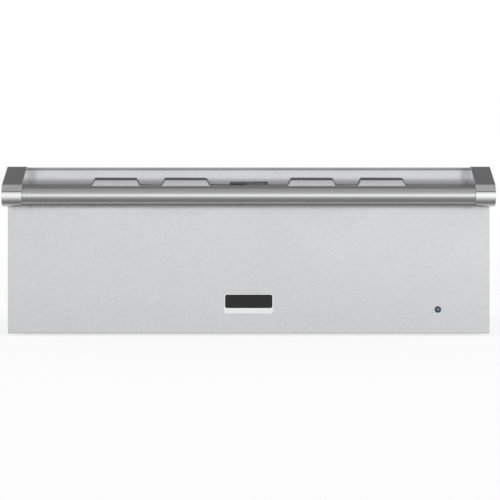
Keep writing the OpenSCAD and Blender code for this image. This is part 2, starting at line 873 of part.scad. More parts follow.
module base_pan() {
    half = case_half - case_t;
    color(steel) place() difference() {
        block([-half, case_y, case_z0], [half, case_end - case_t, case_z0 + base_flange]);
        block([-half + case_t, case_y + case_t, case_z0 + case_t],
              [half - case_t, case_end - 2 * case_t, case_z0 + flange + 1]);
        for (x = back_screw_x) translate([x, case_end - 3 * case_t, case_z0 + 8])
            rotate([-90, 0, 0]) cylinder(h = 3 * case_t, r = screw_hole_r);
        both_sides() {
            for (y = foot_y) translate([foot_x, y, case_z0 - 1])
                cylinder(h = case_t + 2, r = screw_hole_r + 0.4);
            for (y = mount_y) translate([mount_x, y, case_z0 - 1])
                cylinder(h = case_t + 2, r = mount_r);
            for (y = side_screw_y) translate([half - 2 * case_t, y, case_z0 + 8])
                rotate([0, 90, 0]) cylinder(h = 3 * case_t, r = screw_hole_r);
        }
    }
}

// A side panel with a flange at its front for the frame and one at its back
module side_panel_right() {
    color(steel) place() difference() {
        union() {
            block([case_half - case_t, case_y, case_z0], [case_half, case_end - case_t, case_z1 - case_t]);
            block([case_half - side_flange, case_y, case_z0 + flange + 1],
                  [case_half, case_y + case_t, case_z1 - flange - case_t - 1]);
        }
        for (y = side_screw_y, z = [case_z0 + 8, case_z1 - 8])
            translate([case_half - 2 * case_t, y, z]) rotate([0, 90, 0])
                cylinder(h = 3 * case_t, r = screw_hole_r);
        for (z = frame_screw_z) translate([frame_screw_x, case_y - 1, z]) rotate([-90, 0, 0])
            cylinder(h = case_t + 2, r = screw_hole_r);
    }
}

module side_panel_left() {
    mirror([1, 0, 0]) side_panel_right();
}

module top_panel() {
    half = case_half - case_t;
    color(steel) place() difference() {
        union() {
            block([-case_half, case_y, case_z1 - case_t], [case_half, case_end - case_t, case_z1]);
            both_sides() block([half - case_t, case_y + 3, case_z1 - flange],
                               [half, case_end - 3 * case_t, case_z1]);
            block([-half + case_t, case_end - 2 * case_t, case_z1 - flange],
                  [half - case_t, case_end - case_t, case_z1]);
        }
        for (x = back_screw_x) translate([x, case_end - 3 * case_t, case_z1 - 8])
            rotate([-90, 0, 0]) cylinder(h = 3 * case_t, r = screw_hole_r);
        both_sides() for (y = side_screw_y) translate([half - 2 * case_t, y, case_z1 - 8])
            rotate([0, 90, 0]) cylinder(h = 2.5 * case_t, r = screw_hole_r);
    }
}

module back_panel() {
    slot_count = 9;
    color(steel) place() difference() {
        block([-case_half, case_end - case_t, case_z0], [case_half, case_end, case_z1]);
        translate([gland_x, case_end - 2 * case_t, gland_z]) rotate([-90, 0, 0])
            cylinder(h = 4 * case_t, r = gland_body_r - 2);
        for (x = back_screw_x, z = [case_z0 + 8, case_z1 - 8])
            translate([x, case_end - 2 * case_t, z]) rotate([-90, 0, 0])
                cylinder(h = 4 * case_t, r = screw_hole_r);
        for (i = [0 : slot_count - 1])
            block([-200 + i * 24 - 8, case_end - 2 * case_t, case_z1 - 22],
                  [-200 + i * 24 + 8, case_end + case_t, case_z1 - 19]);
    }
}

module case_screws() {
    length = 6;
    color(chrome) place() {
        both_sides() {
            for (y = side_screw_y, z = [case_z0 + 8, case_z1 - 8])
                translate([case_half, y, z]) rotate([0, 0, 90])
                    screw(length, screw_r, screw_head_r, screw_head_h);
            for (z = frame_screw_z) translate([frame_screw_x, frame_y, z])
                screw(3 * case_t, screw_r, screw_head_r, screw_head_h);
        }
        for (x = back_screw_x, z = [case_z0 + 8, case_z1 - 8])
            translate([x, case_end, z]) mirror([0, 1, 0])
                screw(4 * case_t, screw_r, screw_head_r, screw_head_h);
    }
}

module cavity_liner() {
    color(chrome) place() difference() {
        block([-cavity_half - liner_t, case_y, cavity_z0 - liner_t],
              [cavity_half + liner_t, cavity_end + liner_t, cavity_z1 + liner_t]);
        block([-cavity_half, case_y - 1, cavity_z0], [cavity_half, cavity_end, cavity_z1]);
        both_sides() {
            for (y = slide_screw_y) translate([cavity_half - 1, y, slide_z])
                rotate([0, 90, 0]) cylinder(h = liner_t + 2, r = screw_hole_r);
            translate([element_end_x, cavity_end - 1, element_h]) rotate([-90, 0, 0])
                cylinder(h = liner_t + 2, r = element_r + 0.2);
        }
        translate([cavity_half - 1, capillary_y, bulb_z]) rotate([0, 90, 0])
            cylinder(h = liner_t + 2, r = capillary_r + 0.5);
    }
}

// Insulation

module insulation_floor() {
    color(wool) place() block([-cavity_half, wool_y, case_z0 + case_t],
                              [cavity_half, cavity_end, cavity_z0 - liner_t]);
}

module insulation_side() {
    block([cavity_half + liner_t, wool_y, case_z0 + case_t + 1],
          [wool_half, cavity_end, cavity_z1]);
}

module insulation_left() {
    color(wool) place() difference() {
        mirror([1, 0, 0]) insulation_side();
        slide_screw_room();
    }
}

module insulation_right() {
    color(wool) place() difference() {
        insulation_side();
        slide_screw_room();
        block([cavity_half, capillary_y - capillary_room, bulb_z - capillary_room],
              [capillary_x + capillary_room, capillary_y + capillary_room, cavity_z1 + 1]);
        translate([led_x, case_y, front_z0 + lamp_z]) rotate([-90, 0, 0]) cylinder(h = 25, r = 6);
    }
}

module slide_screw_room() {
    both_sides() for (y = slide_screw_y) translate([cavity_half, y, slide_z])
        rotate([0, 90, 0]) cylinder(h = liner_t + 6, r = screw_r + 1);
}

module insulation_top() {
    control_half = thermostat_w / 2 + 8;
    control_end = case_y + thermostat_l + terminal_l + 24;
    color(wool) place() difference() {
        block([-wool_half, wool_y, cavity_z1 + liner_t], [wool_half, cavity_end, wool_top]);
        block([knob_x - control_half, case_y, cavity_z1 + liner_t + 1],
              [knob_x + control_half, control_end, wool_top + 1]);
        block([capillary_x - capillary_room, capillary_y - capillary_room, cavity_z1],
              [capillary_x + capillary_room, capillary_y + capillary_room, wool_top + 1]);
    }
}

module insulation_back() {
    low = cavity_end + liner_t;
    high = case_end - 3 * case_t - 4;
    color(wool) place() difference() {
        block([-wool_half, low, case_z0 + case_t], [wool_half, high, wool_top]);
        both_sides() block([element_end_x - 12, low - 1, element_h - 12],
                           [element_end_x + 12, high + 1, element_h + 12]);
        block([-cutout_room_w, low - 1, cutout_z - cutout_room_h],
              [cutout_room_w, high + 1, cutout_z + cutout_room_h]);
        block([gland_x - 50, low - 1, case_z0], [wool_half + 1, high + 1, gland_z + 55]);
    }
}

// Heating and control

module heating_element() {
    turn_r = element_pitch / 2;
    color(dark_steel) place() translate([0, 0, element_h]) {
        for (i = [0 : element_runs - 1]) {
            x = (i - (element_runs - 1) / 2) * element_pitch;
            outer = i == 0 || i == element_runs - 1;
            rod([x, element_front, 0],
                [x, outer ? cavity_end + lead_out : element_back, 0], element_r);
        }
        for (i = [0 : element_runs - 2]) {
            front_turn = i % 2 == 0;
            translate([(i - (element_runs - 2) / 2) * element_pitch,
                       front_turn ? element_front : element_back, 0])
                rotate([0, 0, front_turn ? 180 : 0])
                    rotate_extrude(angle = 180) translate([turn_r, 0]) circle(element_r);
        }
    }
}

module element_clips() {
    color(steel) place()
        for (i = [0 : element_runs - 1], y = [element_front + clip_in, element_back - clip_in]) {
            x = (i - (element_runs - 1) / 2) * element_pitch;
            difference() {
                block([x - 6, y - 4, cavity_z0], [x + 6, y + 4, element_h + 1]);
                rod([x, y - 5, element_h], [x, y + 5, element_h], element_r + 0.1);
            }
        }
}

module thermostat_body() {
    half = thermostat_w / 2;
    color(dark_steel) place() union() {
        difference() {
            block([knob_x - half, case_y, knob_z - half + 2],
                  [knob_x + half, case_y + thermostat_l, knob_z + half - 2]);
            translate([knob_x, case_y - 1, knob_z]) rotate([-90, 0, 0])
                cylinder(h = 20, r = shaft_r + 0.1);
        }
        for (side = [-1, 1])
            translate([knob_x + side * 10, case_y + thermostat_l, knob_z]) rotate([-90, 0, 0])
                cylinder(h = terminal_l, r = 2);
    }
}

module thermostat_shaft() {
    color(chrome) place() translate([knob_x, frame_y - knob_l / 2, knob_z]) rotate([-90, 0, 0])
        cylinder(h = knob_l / 2 + case_t + 17, r = shaft_r);
}

module thermostat_knob() {
    grips = 24;
    color(rubber_black) place()
        translate([knob_x, frame_y - clear - knob_l, knob_z]) rotate([-90, 0, 0]) difference() {
            cylinder(h = knob_l, r = knob_d / 2);
            translate([0, 0, knob_l / 2 + clear]) cylinder(h = knob_l, r = shaft_r);
            for (i = [0 : grips - 1]) rotate([0, 0, i * 360 / grips])
                translate([knob_d / 2 + 0.6, 0, -1]) cylinder(h = knob_l - 3, r = 1.3);
            translate([-1, -knob_d / 2 + 3, -1]) cube([2, 8, 1.6]);
        }
}

module dial_ring() {
    marks = 10;
    color(chrome) place() translate([knob_x, frame_y - 0.5, knob_z]) rotate([-90, 0, 0]) union() {
        difference() {
            cylinder(h = 0.5, r = dial_r);
            translate([0, 0, -1]) cylinder(h = 3, r = knob_d / 2 + 0.4);
        }
        for (i = [0 : marks - 1]) rotate([0, 0, 135 + i * 270 / (marks - 1)])
            translate([knob_d / 2 + 1.7, 0, -0.3]) cylinder(h = 0.5, r = 0.6);
    }
}

module thermostat_bulb() {
    top = wool_top + 4;
    bend_y = case_y + thermostat_l + terminal_l + 20;
    color([0.72, 0.45, 0.2]) place() union() {
        rod([bulb_x, capillary_y, bulb_z], [bulb_x, capillary_y + bulb_l, bulb_z], bulb_r);
        wire([[bulb_x, capillary_y, bulb_z], [capillary_x, capillary_y, bulb_z],
              [capillary_x, capillary_y, top], [capillary_x, bend_y, top],
              [knob_x, bend_y, top], [knob_x, bend_y, knob_z],
              [knob_x, case_y + thermostat_l, knob_z]], capillary_r);
    }
}

module bulb_clips() {
    color(steel) place() for (y = [capillary_y + 20, capillary_y + 65]) difference() {
        block([bulb_x, y, bulb_z - bulb_r - 2], [cavity_half, y + 6, bulb_z + bulb_r + 2]);
        rod([bulb_x, y - 1, bulb_z], [bulb_x, y + 7, bulb_z], bulb_r + 0.1);
    }
}

module thermal_cutout() {
    color(glossy_black) place() translate([0, cavity_end + liner_t, cutout_z])
        rotate([-90, 0, 0]) union() {
            cylinder(h = 2, r = 12);
            cylinder(h = 14, r = 8);
        }
}

module terminal_block() {
    width = 48;
    y0 = cavity_end + liner_t;
    color([0.9, 0.9, 0.86]) place() difference() {
        block([gland_x - width / 2, y0, gland_z + 16], [gland_x + width / 2, y0 + 16, gland_z + 38]);
        for (i = [-1 : 1], up = [22, 32]) translate([gland_x + i * 14, y0 + 10, gland_z + up])
            rotate([-90, 0, 0]) cylinder(h = 8, r = 3);
    }
}

module junction_cover() {
    half = 36;
    high = 46;
    deep = 20;
    y0 = cavity_end + liner_t;
    color(steel) place() difference() {
        block([gland_x - half, y0, gland_z + 12], [gland_x + half, y0 + deep, gland_z + high]);
        block([gland_x - half + case_t, y0 - 1, gland_z + 11],
              [gland_x + half - case_t, y0 + deep - case_t, gland_z + high - case_t]);
    }
}

module indicator_led() {
    color("aliceblue") place() translate([led_x, front_t + clear, front_z0 + lamp_z])
        rotate([-90, 0, 0]) union() {
            cylinder(h = seal_gap - clear, r = 3.2);
            cylinder(h = seal_gap - clear + case_t + 8, r = 2.4);
        }
}

module cable_gland() {
    color(glossy_black) place() translate([gland_x, case_end, gland_z]) rotate([-90, 0, 0])
        difference() {
            union() {
                cylinder(h = gland_out, r = gland_body_r);
                translate([0, 0, -case_t - 8]) cylinder(h = case_t + 9, r = gland_body_r - 2.1);
            }
            translate([0, 0, -20]) cylinder(h = gland_out + 40, r = gland_r);
        }
}

module rubber_feet() {
    color(rubber_black) place() both_sides() for (y = foot_y) translate([foot_x, y, 0]) union() {
        cylinder(h = foot_h, r = foot_d / 2);
        cylinder(h = foot_h + case_t, r = screw_hole_r);
    }
}

front_skin();
front_inner_panel();
front_insulation();
door_gasket();
vent_shutter();
shutter_guides();
handle_bar();
handle_bracket_left();
handle_bracket_right();
bracket_screws();
bracket_plates();
badge_plate();
badge_inlay();
indicator_ring();
indicator_lens();
light_pipe();
drawer_rail_left();
drawer_rail_right();
drawer_rail_front();
drawer_rail_back();
rail_screws();
food_pan();
wire_rack();
slide_inner_left();
slide_inner_right();
slide_middle_left();
slide_middle_right();
slide_balls_left();
slide_balls_right();
slide_outer_left();
slide_outer_right();
slide_screws();
front_frame();
frame_bumpers();
base_pan();
side_panel_left();
side_panel_right();
top_panel();
back_panel();
case_screws();
cavity_liner();
insulation_floor();
insulation_left();
insulation_right();
insulation_top();
insulation_back();
heating_element();
element_clips();
thermostat_body();
thermostat_shaft();
thermostat_knob();
dial_ring();
thermostat_bulb();
bulb_clips();
thermal_cutout();
terminal_block();
junction_cover();
indicator_led();
cable_gland();
rubber_feet();
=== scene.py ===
"""Countertop warming drawer: modelled pieces, finishes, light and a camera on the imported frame."""

from __future__ import annotations

import json
import logging
import math
from dataclasses import dataclass, field
from enum import Enum
from typing import Callable, Iterable, Sequence

import bmesh
import bpy
from mathutils import Matrix, Vector

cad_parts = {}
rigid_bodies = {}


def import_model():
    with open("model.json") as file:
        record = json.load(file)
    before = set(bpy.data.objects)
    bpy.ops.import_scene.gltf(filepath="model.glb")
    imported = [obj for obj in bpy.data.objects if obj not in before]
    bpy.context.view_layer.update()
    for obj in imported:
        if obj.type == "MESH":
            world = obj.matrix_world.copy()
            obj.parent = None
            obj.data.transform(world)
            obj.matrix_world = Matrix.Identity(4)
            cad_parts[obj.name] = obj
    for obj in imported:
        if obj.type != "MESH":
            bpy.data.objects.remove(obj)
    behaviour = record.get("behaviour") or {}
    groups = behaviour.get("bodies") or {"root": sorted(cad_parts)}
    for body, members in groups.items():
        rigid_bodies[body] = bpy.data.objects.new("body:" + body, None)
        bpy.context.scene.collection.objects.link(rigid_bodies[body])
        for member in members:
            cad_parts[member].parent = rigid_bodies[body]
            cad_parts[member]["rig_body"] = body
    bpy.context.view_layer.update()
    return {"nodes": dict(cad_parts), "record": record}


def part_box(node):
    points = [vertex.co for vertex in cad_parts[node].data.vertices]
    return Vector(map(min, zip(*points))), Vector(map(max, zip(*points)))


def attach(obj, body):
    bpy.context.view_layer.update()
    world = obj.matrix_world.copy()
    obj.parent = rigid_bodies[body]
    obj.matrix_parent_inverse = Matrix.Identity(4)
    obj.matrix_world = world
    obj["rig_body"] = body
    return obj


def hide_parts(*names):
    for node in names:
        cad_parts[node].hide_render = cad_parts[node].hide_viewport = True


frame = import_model()
MM = 0.001
NEAR = 1e-5
VERY_NEAR = 1e-6
MERGE = 2e-6
FLATTEST = 100
LOG = logging.getLogger("warming_drawer")

Edge = bmesh.types.BMEdge
Vert = bmesh.types.BMVert
Node = bpy.types.Node
NodeTree = bpy.types.NodeTree
Socket = bpy.types.NodeSocket
Material = bpy.types.Material
Piece = bpy.types.Object
EdgeTest = Callable[[Edge], bool]
Pairs = tuple[tuple[float, float], ...]
Triples = tuple[tuple[float, float, float], ...]


class Grain(Enum):
    """The way that a sheet or bar was brushed, as noise repeats per metre along X, Y and Z."""

    ALONG_X = (55.0, 1500.0, 1500.0)
    ALONG_Y = (1500.0, 55.0, 1500.0)
    EVEN = (900.0, 900.0, 900.0)


class Axis(Enum):
    """A direction of the object's frame."""

    RIGHT = (1.0, 0.0, 0.0)
    LEFT = (-1.0, 0.0, 0.0)
    FRONT = (0.0, -1.0, 0.0)
    BACK = (0.0, 1.0, 0.0)
    UP = (0.0, 0.0, 1.0)
    DOWN = (0.0, 0.0, -1.0)

    @property
    def vector(self) -> Vector:
        """The direction as a vector."""
        return Vector(self.value)


# Shader trees and finishes


class Tree:
    """A shader tree under construction."""

    def __init__(self, tree: NodeTree) -> None:
        """Empties the tree.

        Args:
            tree: The node tree to fill.
        """
        self.tree = tree
        tree.nodes.clear()

    def put(self, target: Socket, value: object) -> None:
        """Links an input to a source socket, or sets its value."""
        if isinstance(value, Socket):
            self.tree.links.new(value, target)
        else:
            target.default_value = value

    def node(self, kind: str, **settings: object) -> Node:
        """Adds a node and sets its properties.

        Args:
            kind: The node's type name without the ShaderNode prefix.
            settings: Properties of the node to set.

        Returns:
            The new node.
        """
        made = self.tree.nodes.new(kind if kind.startswith("Node") else "ShaderNode" + kind)
        for name, value in settings.items():
            setattr(made, name, value)
        return made

    def feed(self, node: Node, **inputs: object) -> Node:
        """Sets or links inputs by name, where an underscore stands for a space.

        Args:
            node: The node to feed.
            inputs: Socket names with a value or a source socket.

        Returns:
            The same node.
        """
        for name, value in inputs.items():
            self.put(node.inputs[name.replace("_", " ")], value)
        return node

    def math(self, operation: str, *values: object, kind: str = "Math") -> Socket:
        """Adds a Math or a VectorMath node.

        Args:
            operation: The node's operation.
            values: A number, a vector or a source socket for each input.
            kind: The node's type name.

        Returns:
            The node's output.
        """
        made = self.node(kind, operation=operation)
        for target, value in zip(made.inputs, values):
            self.put(target, value)
        return made.outputs["Value" if kind == "Math" or operation == "DOT_PRODUCT" else "Vector"]

    def spread(self, source: Socket, low: float, high: float, to_low: float = 0.0,
               to_high: float = 1.0) -> Socket:
        """Maps a value from one range to another and clamps it.

        Args:
            source: The socket to map.
            low: The lower end of the source's range.
            high: The upper end of the source's range.
            to_low: The result at the lower end.
            to_high: The result at the upper end.

        Returns:
            The mapped value.
        """
        made = self.node("MapRange", clamp=True)
        self.feed(made, Value=source, From_Min=low, From_Max=high, To_Min=to_low, To_Max=to_high)
        return made.outputs["Result"]

    def noise(self, vector: Socket, scale: float, detail: float = 3.0) -> Socket:
        """Adds a Noise Texture and returns its value."""
        made = self.feed(self.node("TexNoise"), Vector=vector, Scale=scale, Detail=detail)
        return made.outputs["Fac"]


class Group(Tree):
    """A shader group under construction."""

    def __init__(self, name: str, inputs: Iterable[str], outputs: Iterable[str]) -> None:
        """Makes an empty group with its sockets.

        Args:
            name: The group's name.
            inputs: The names of its inputs besides Vector. Stretch is a vector, the others are numbers.
            outputs: The names of its outputs, which are numbers.
        """
        super().__init__(bpy.data.node_groups.new(name, "ShaderNodeTree"))
        for side, labels in (("INPUT", ("Vector", *inputs)), ("OUTPUT", outputs)):
            for label in labels:
                kind = "NodeSocketVector" if label in ("Vector", "Stretch") else "NodeSocketFloat"
                self.tree.interface.new_socket(name=label, in_out=side, socket_type=kind)
        self.given = self.node("NodeGroupInput").outputs
        self.place = self.given["Vector"]
        self.end = self.node("NodeGroupOutput")


class Effects:
    """Builds the shader groups that the finishes share, from noise at named scales."""

    streak_detail = 4.0
    broad_scale = 0.28
    fine_share = 0.45
    fleck_scale = (210.0, 330.0, 330.0)
    streak_range = (0.25, 0.75)
    mottle_range = (0.3, 0.7)
    bend_range = (0.995, 0.85)
    bend_samples = 4
    break_scale = 160.0
    break_range = (0.3, 0.6, 0.35)
    patch_scale = 9.0
    patch_range = (0.35, 0.7)
    speck_scale = 420.0
    speck_range = (0.62, 0.78)
    tone_scale = 40.0

    def __init__(self) -> None:
        """Builds the groups once."""
        self.brushing = self._brushing()
        # The edge mask lightens edges, partly as wear and partly as a painted highlight.
        self.edges = self._wear_and_highlight_edges()
        self.handling = self._handling()
        self.pebble = self._pebble()

    def _brushing(self) -> NodeTree:
        """Streaks of a brushed surface: fine lines, broader streaks and a slow mottle."""
        group = Group("brushed_streaks", ("Stretch",), ("Streaks", "Height", "Mottle"))
        stretched = group.math("MULTIPLY", group.place, group.given["Stretch"], kind="VectorMath")
        flecks = group.math("MULTIPLY", group.place, self.fleck_scale, kind="VectorMath")
        fine = group.noise(stretched, 1.0, self.streak_detail)
        broad = group.noise(stretched, self.broad_scale)
        mottle = group.noise(flecks, 1.0, 2.0)
        streaks = group.math("ADD", group.math("MULTIPLY", fine, self.fine_share),
                             group.math("MULTIPLY", broad, 1.0 - self.fine_share))
        group.feed(group.end, Streaks=group.spread(streaks, *self.streak_range), Height=fine,
                   Mottle=group.spread(mottle, *self.mottle_range))
        return group.tree

    def _wear_and_highlight_edges(self) -> NodeTree:
        """A mask that is up to 1 along edges and 0 on flat surfaces; the finishes lighten their edges by it,
        partly as wear and partly as a painted highlight.
        """
        group = Group("edge_wear", ("Radius",), ("Edge",))
        rounded = group.feed(group.node("Bevel", samples=self.bend_samples), Radius=group.given["Radius"])
        flat = group.node("NewGeometry").outputs["Normal"]
        likeness = group.math("DOT_PRODUCT", rounded.outputs["Normal"], flat, kind="VectorMath")
        bend = group.spread(likeness, *self.bend_range)
        broken = group.spread(group.noise(group.place, self.break_scale), *self.break_range)
        group.feed(group.end, Edge=group.math("MULTIPLY", bend, broken))
        return group.tree

    def _handling(self) -> NodeTree:
        """Soft patches where a surface was wiped or touched, and small specks."""
        group = Group("handling_patches", (), ("Patches", "Specks"))
        wide = group.noise(group.place, self.patch_scale, 5.0)
        small = group.noise(group.place, self.speck_scale, 2.0)
        group.feed(group.end, Patches=group.spread(wide, *self.patch_range),
                   Specks=group.spread(small, *self.speck_range))
        return group.tree

    def _pebble(self) -> NodeTree:
        """The fine pebbled skin of moulded plastic and rubber."""
        group = Group("moulded_pebble", ("Scale",), ("Height", "Tone"))
        cells = group.feed(group.node("TexVoronoi", feature="SMOOTH_F1"), Vector=group.place,
                           Scale=group.given["Scale"])
        tone = group.noise(group.place, self.tone_scale, 4.0)
        group.feed(group.end, Height=cells.outputs["Distance"], Tone=tone)
        return group.tree


class Skin(Tree):
    """A material's tree: one shader over the Object coordinates."""

    def __init__(self, finish: Finish, metallic: float = 0.0) -> None:
        """Starts the material.

        Args:
            finish: The finish whose name and colour it has.
            metallic: The uniform metallic value.
        """
        self.material = bpy.data.materials.new(finish.name)
        self.material.use_nodes = True
        self.material.diffuse_color = (*finish.colour, 1.0)
        self.colour = finish.colour
        super().__init__(self.material.node_tree)
        self.shader = self.feed(self.node("BsdfPrincipled"), Metallic=metallic)
        self.feed(self.node("OutputMaterial"), Surface=self.shader.outputs["BSDF"])
        self.place = self.node("TexCoord").outputs["Object"]

    def use(self, group: NodeTree, **inputs: object) -> bpy.types.NodeOutputs:
        """Places a shared group, feeds it and returns its outputs."""
        return self.feed(self.node("Group", node_tree=group), Vector=self.place, **inputs).outputs

    def tint(self, source: Socket, dark: float, light: float) -> Socket:
        """Scales the finish's colour between two strengths by a value.

        Args:
            source: A value from 0 to 1.
            dark: The factor at 0.
            light: The factor at 1.

        Returns:
            The colour.
        """
        ends = [(*(min(1.0, part * factor) for part in self.colour), 1.0) for factor in (dark, light)]
        mix = self.feed(self.node("Mix", data_type="RGBA"), Factor=source, A=ends[0], B=ends[1])
        return mix.outputs["Result"]

    def bump(self, strength: float, distance_mm: float, height: Socket) -> Socket:
        """Adds a Bump node and returns its normal."""
        made = self.feed(self.node("Bump"), Strength=strength, Distance=distance_mm * MM, Height=height)
        return made.outputs["Normal"]


@dataclass(frozen=True)
class Finish:
    """Base of the finishes: a name, a slot of the record, a colour and a roughness."""

    name: str
    slot: str
    colour: tuple[float, float, float]
    roughness: float = 0.4

    def build(self, effects: Effects) -> Material:
        """Builds the material from the shared effects."""
        raise NotImplementedError


@dataclass(frozen=True)
class BrushedMetal(Finish):
    """Brushed or satin metal with streaks, a soft mottle, and edges lightened partly as wear and partly as a
    painted highlight.
    """

    grain: Grain = Grain.ALONG_X
    contrast: float = 0.05
    mottle: float = 0.02
    metallic: float = 1.0
    bump: float = 0.05
    # How much the edge mask lightens the colour: partly wear, partly a painted highlight along the edges.
    edge: float = 0.3
    edge_mm: float = 0.5
    rough_swing: float = 0.08
    touch: float = 0.04
    tints: tuple[float, float] = (0.5, 1.5)
    bump_mm: float = 0.2

    def build(self, effects: Effects) -> Material:
        """Builds the material from the shared effects."""
        skin = Skin(self, self.metallic)
        streaks = skin.use(effects.brushing, Stretch=self.grain.value)
        wear_and_sheen = skin.use(effects.edges, Radius=self.edge_mm * MM)
        touched = skin.use(effects.handling)
        tone = skin.math("MULTIPLY_ADD", streaks["Streaks"], self.contrast, 0.5 - self.contrast / 2)
        slow = skin.math("MULTIPLY", skin.math("SUBTRACT", streaks["Mottle"], 0.5), self.mottle)
        # Edges lightened by the edge mask: partly wear, partly a painted highlight.
        worn_and_lit = skin.math("MULTIPLY", wear_and_sheen["Edge"], self.edge)
        value = skin.math("ADD", skin.math("ADD", tone, slow), worn_and_lit)
        lowest = self.roughness - self.rough_swing / 2
        rough = skin.math("MULTIPLY_ADD", streaks["Streaks"], self.rough_swing, lowest)
        patches = skin.math("MULTIPLY", touched["Patches"], self.touch)
        skin.feed(skin.shader, Base_Color=skin.tint(value, *self.tints),
                  Roughness=skin.math("ADD", rough, patches),
                  Normal=skin.bump(self.bump, self.bump_mm, streaks["Height"]))
        return skin.material


@dataclass(frozen=True)
class Moulded(Finish):
    """Moulded plastic, rubber or lacquer with a fine pebble, and edges lightened partly as wear and partly
    as a painted highlight.
    """

    pebble: float = 900.0
    bump: float = 0.15
    coat: float = 0.0
    # How much the edge mask lightens the colour: partly wear, partly a painted highlight along the edges.
    edge: float = 0.25
    shine: float = 0.5
    edge_mm: float = 0.4
    touch: float = 0.1
    coat_roughness: float = 0.08
    tone_range: tuple[float, float, float, float] = (0.3, 0.7, 0.42, 0.58)
    tints: tuple[float, float] = (0.6, 1.5)
    bump_mm: float = 0.15

    def build(self, effects: Effects) -> Material:
        """Builds the material from the shared effects."""
        skin = Skin(self)
        pebbles = skin.use(effects.pebble, Scale=self.pebble)
        wear_and_sheen = skin.use(effects.edges, Radius=self.edge_mm * MM)
        touched = skin.use(effects.handling)
        base = skin.spread(pebbles["Tone"], *self.tone_range)
        # Edges lightened by the edge mask: partly wear, partly a painted highlight.
        value = skin.math("ADD", base, skin.math("MULTIPLY", wear_and_sheen["Edge"], self.edge))
        patches = skin.math("MULTIPLY", touched["Patches"], self.touch)
        skin.feed(skin.shader, Base_Color=skin.tint(value, *self.tints),
                  Roughness=skin.math("ADD", patches, self.roughness), Specular_IOR_Level=self.shine,
                  Coat_Weight=self.coat, Coat_Roughness=self.coat_roughness,
                  Normal=skin.bump(self.bump, self.bump_mm, pebbles["Height"]))
        return skin.material


@dataclass(frozen=True)
class Fibrous(Finish):
    """Glass wool: matted fibres in clumps."""

    fibres: tuple[float, float, float] = (300.0, 300.0, 900.0)
    fibre_share: float = 0.6
    least_roughness: float = 0.85
    tints: tuple[float, float] = (0.7, 1.1)
    bump: float = 0.6
    bump_mm: float = 1.5

    def build(self, effects: Effects) -> Material:
        """Builds the material from the shared effects."""
        skin = Skin(self)
        streaks = skin.use(effects.brushing, Stretch=self.fibres)
        value = skin.math("ADD", skin.math("MULTIPLY", streaks["Streaks"], self.fibre_share),
                          skin.math("MULTIPLY", streaks["Mottle"], 1.0 - self.fibre_share))
        skin.feed(skin.shader, Base_Color=skin.tint(value, *self.tints),
                  Roughness=skin.spread(value, 0.0, 1.0, self.least_roughness),
                  Normal=skin.bump(self.bump, self.bump_mm, streaks["Height"]))
        return skin.material


@dataclass(frozen=True)
class Lens(Finish):
    """A tinted moulded lens with a clear coat and a faint glow from behind."""

    glow: float = 0.0
    coat: float = 0.6
    coat_roughness: float = 0.05
    speck_roughness: float = 0.2
    tints: tuple[float, float] = (0.9, 1.1)
    glow_tints: tuple[float, float] = (0.95, 1.05)

    def build(self, effects: Effects) -> Material:
        """Builds the material from the shared effects."""
        skin = Skin(self)
        touched = skin.use(effects.handling)
        roughest = self.roughness + self.speck_roughness
        rough = skin.spread(touched["Specks"], 0.0, 1.0, self.roughness, roughest)
        skin.feed(skin.shader, Base_Color=skin.tint(touched["Patches"], *self.tints), Roughness=rough,
                  Coat_Weight=self.coat, Coat_Roughness=self.coat_roughness)
        if self.glow > 0.0:
            skin.feed(skin.shader, Emission_Color=skin.tint(touched["Patches"], *self.glow_tints),
                      Emission_Strength=self.glow)
        return skin.material
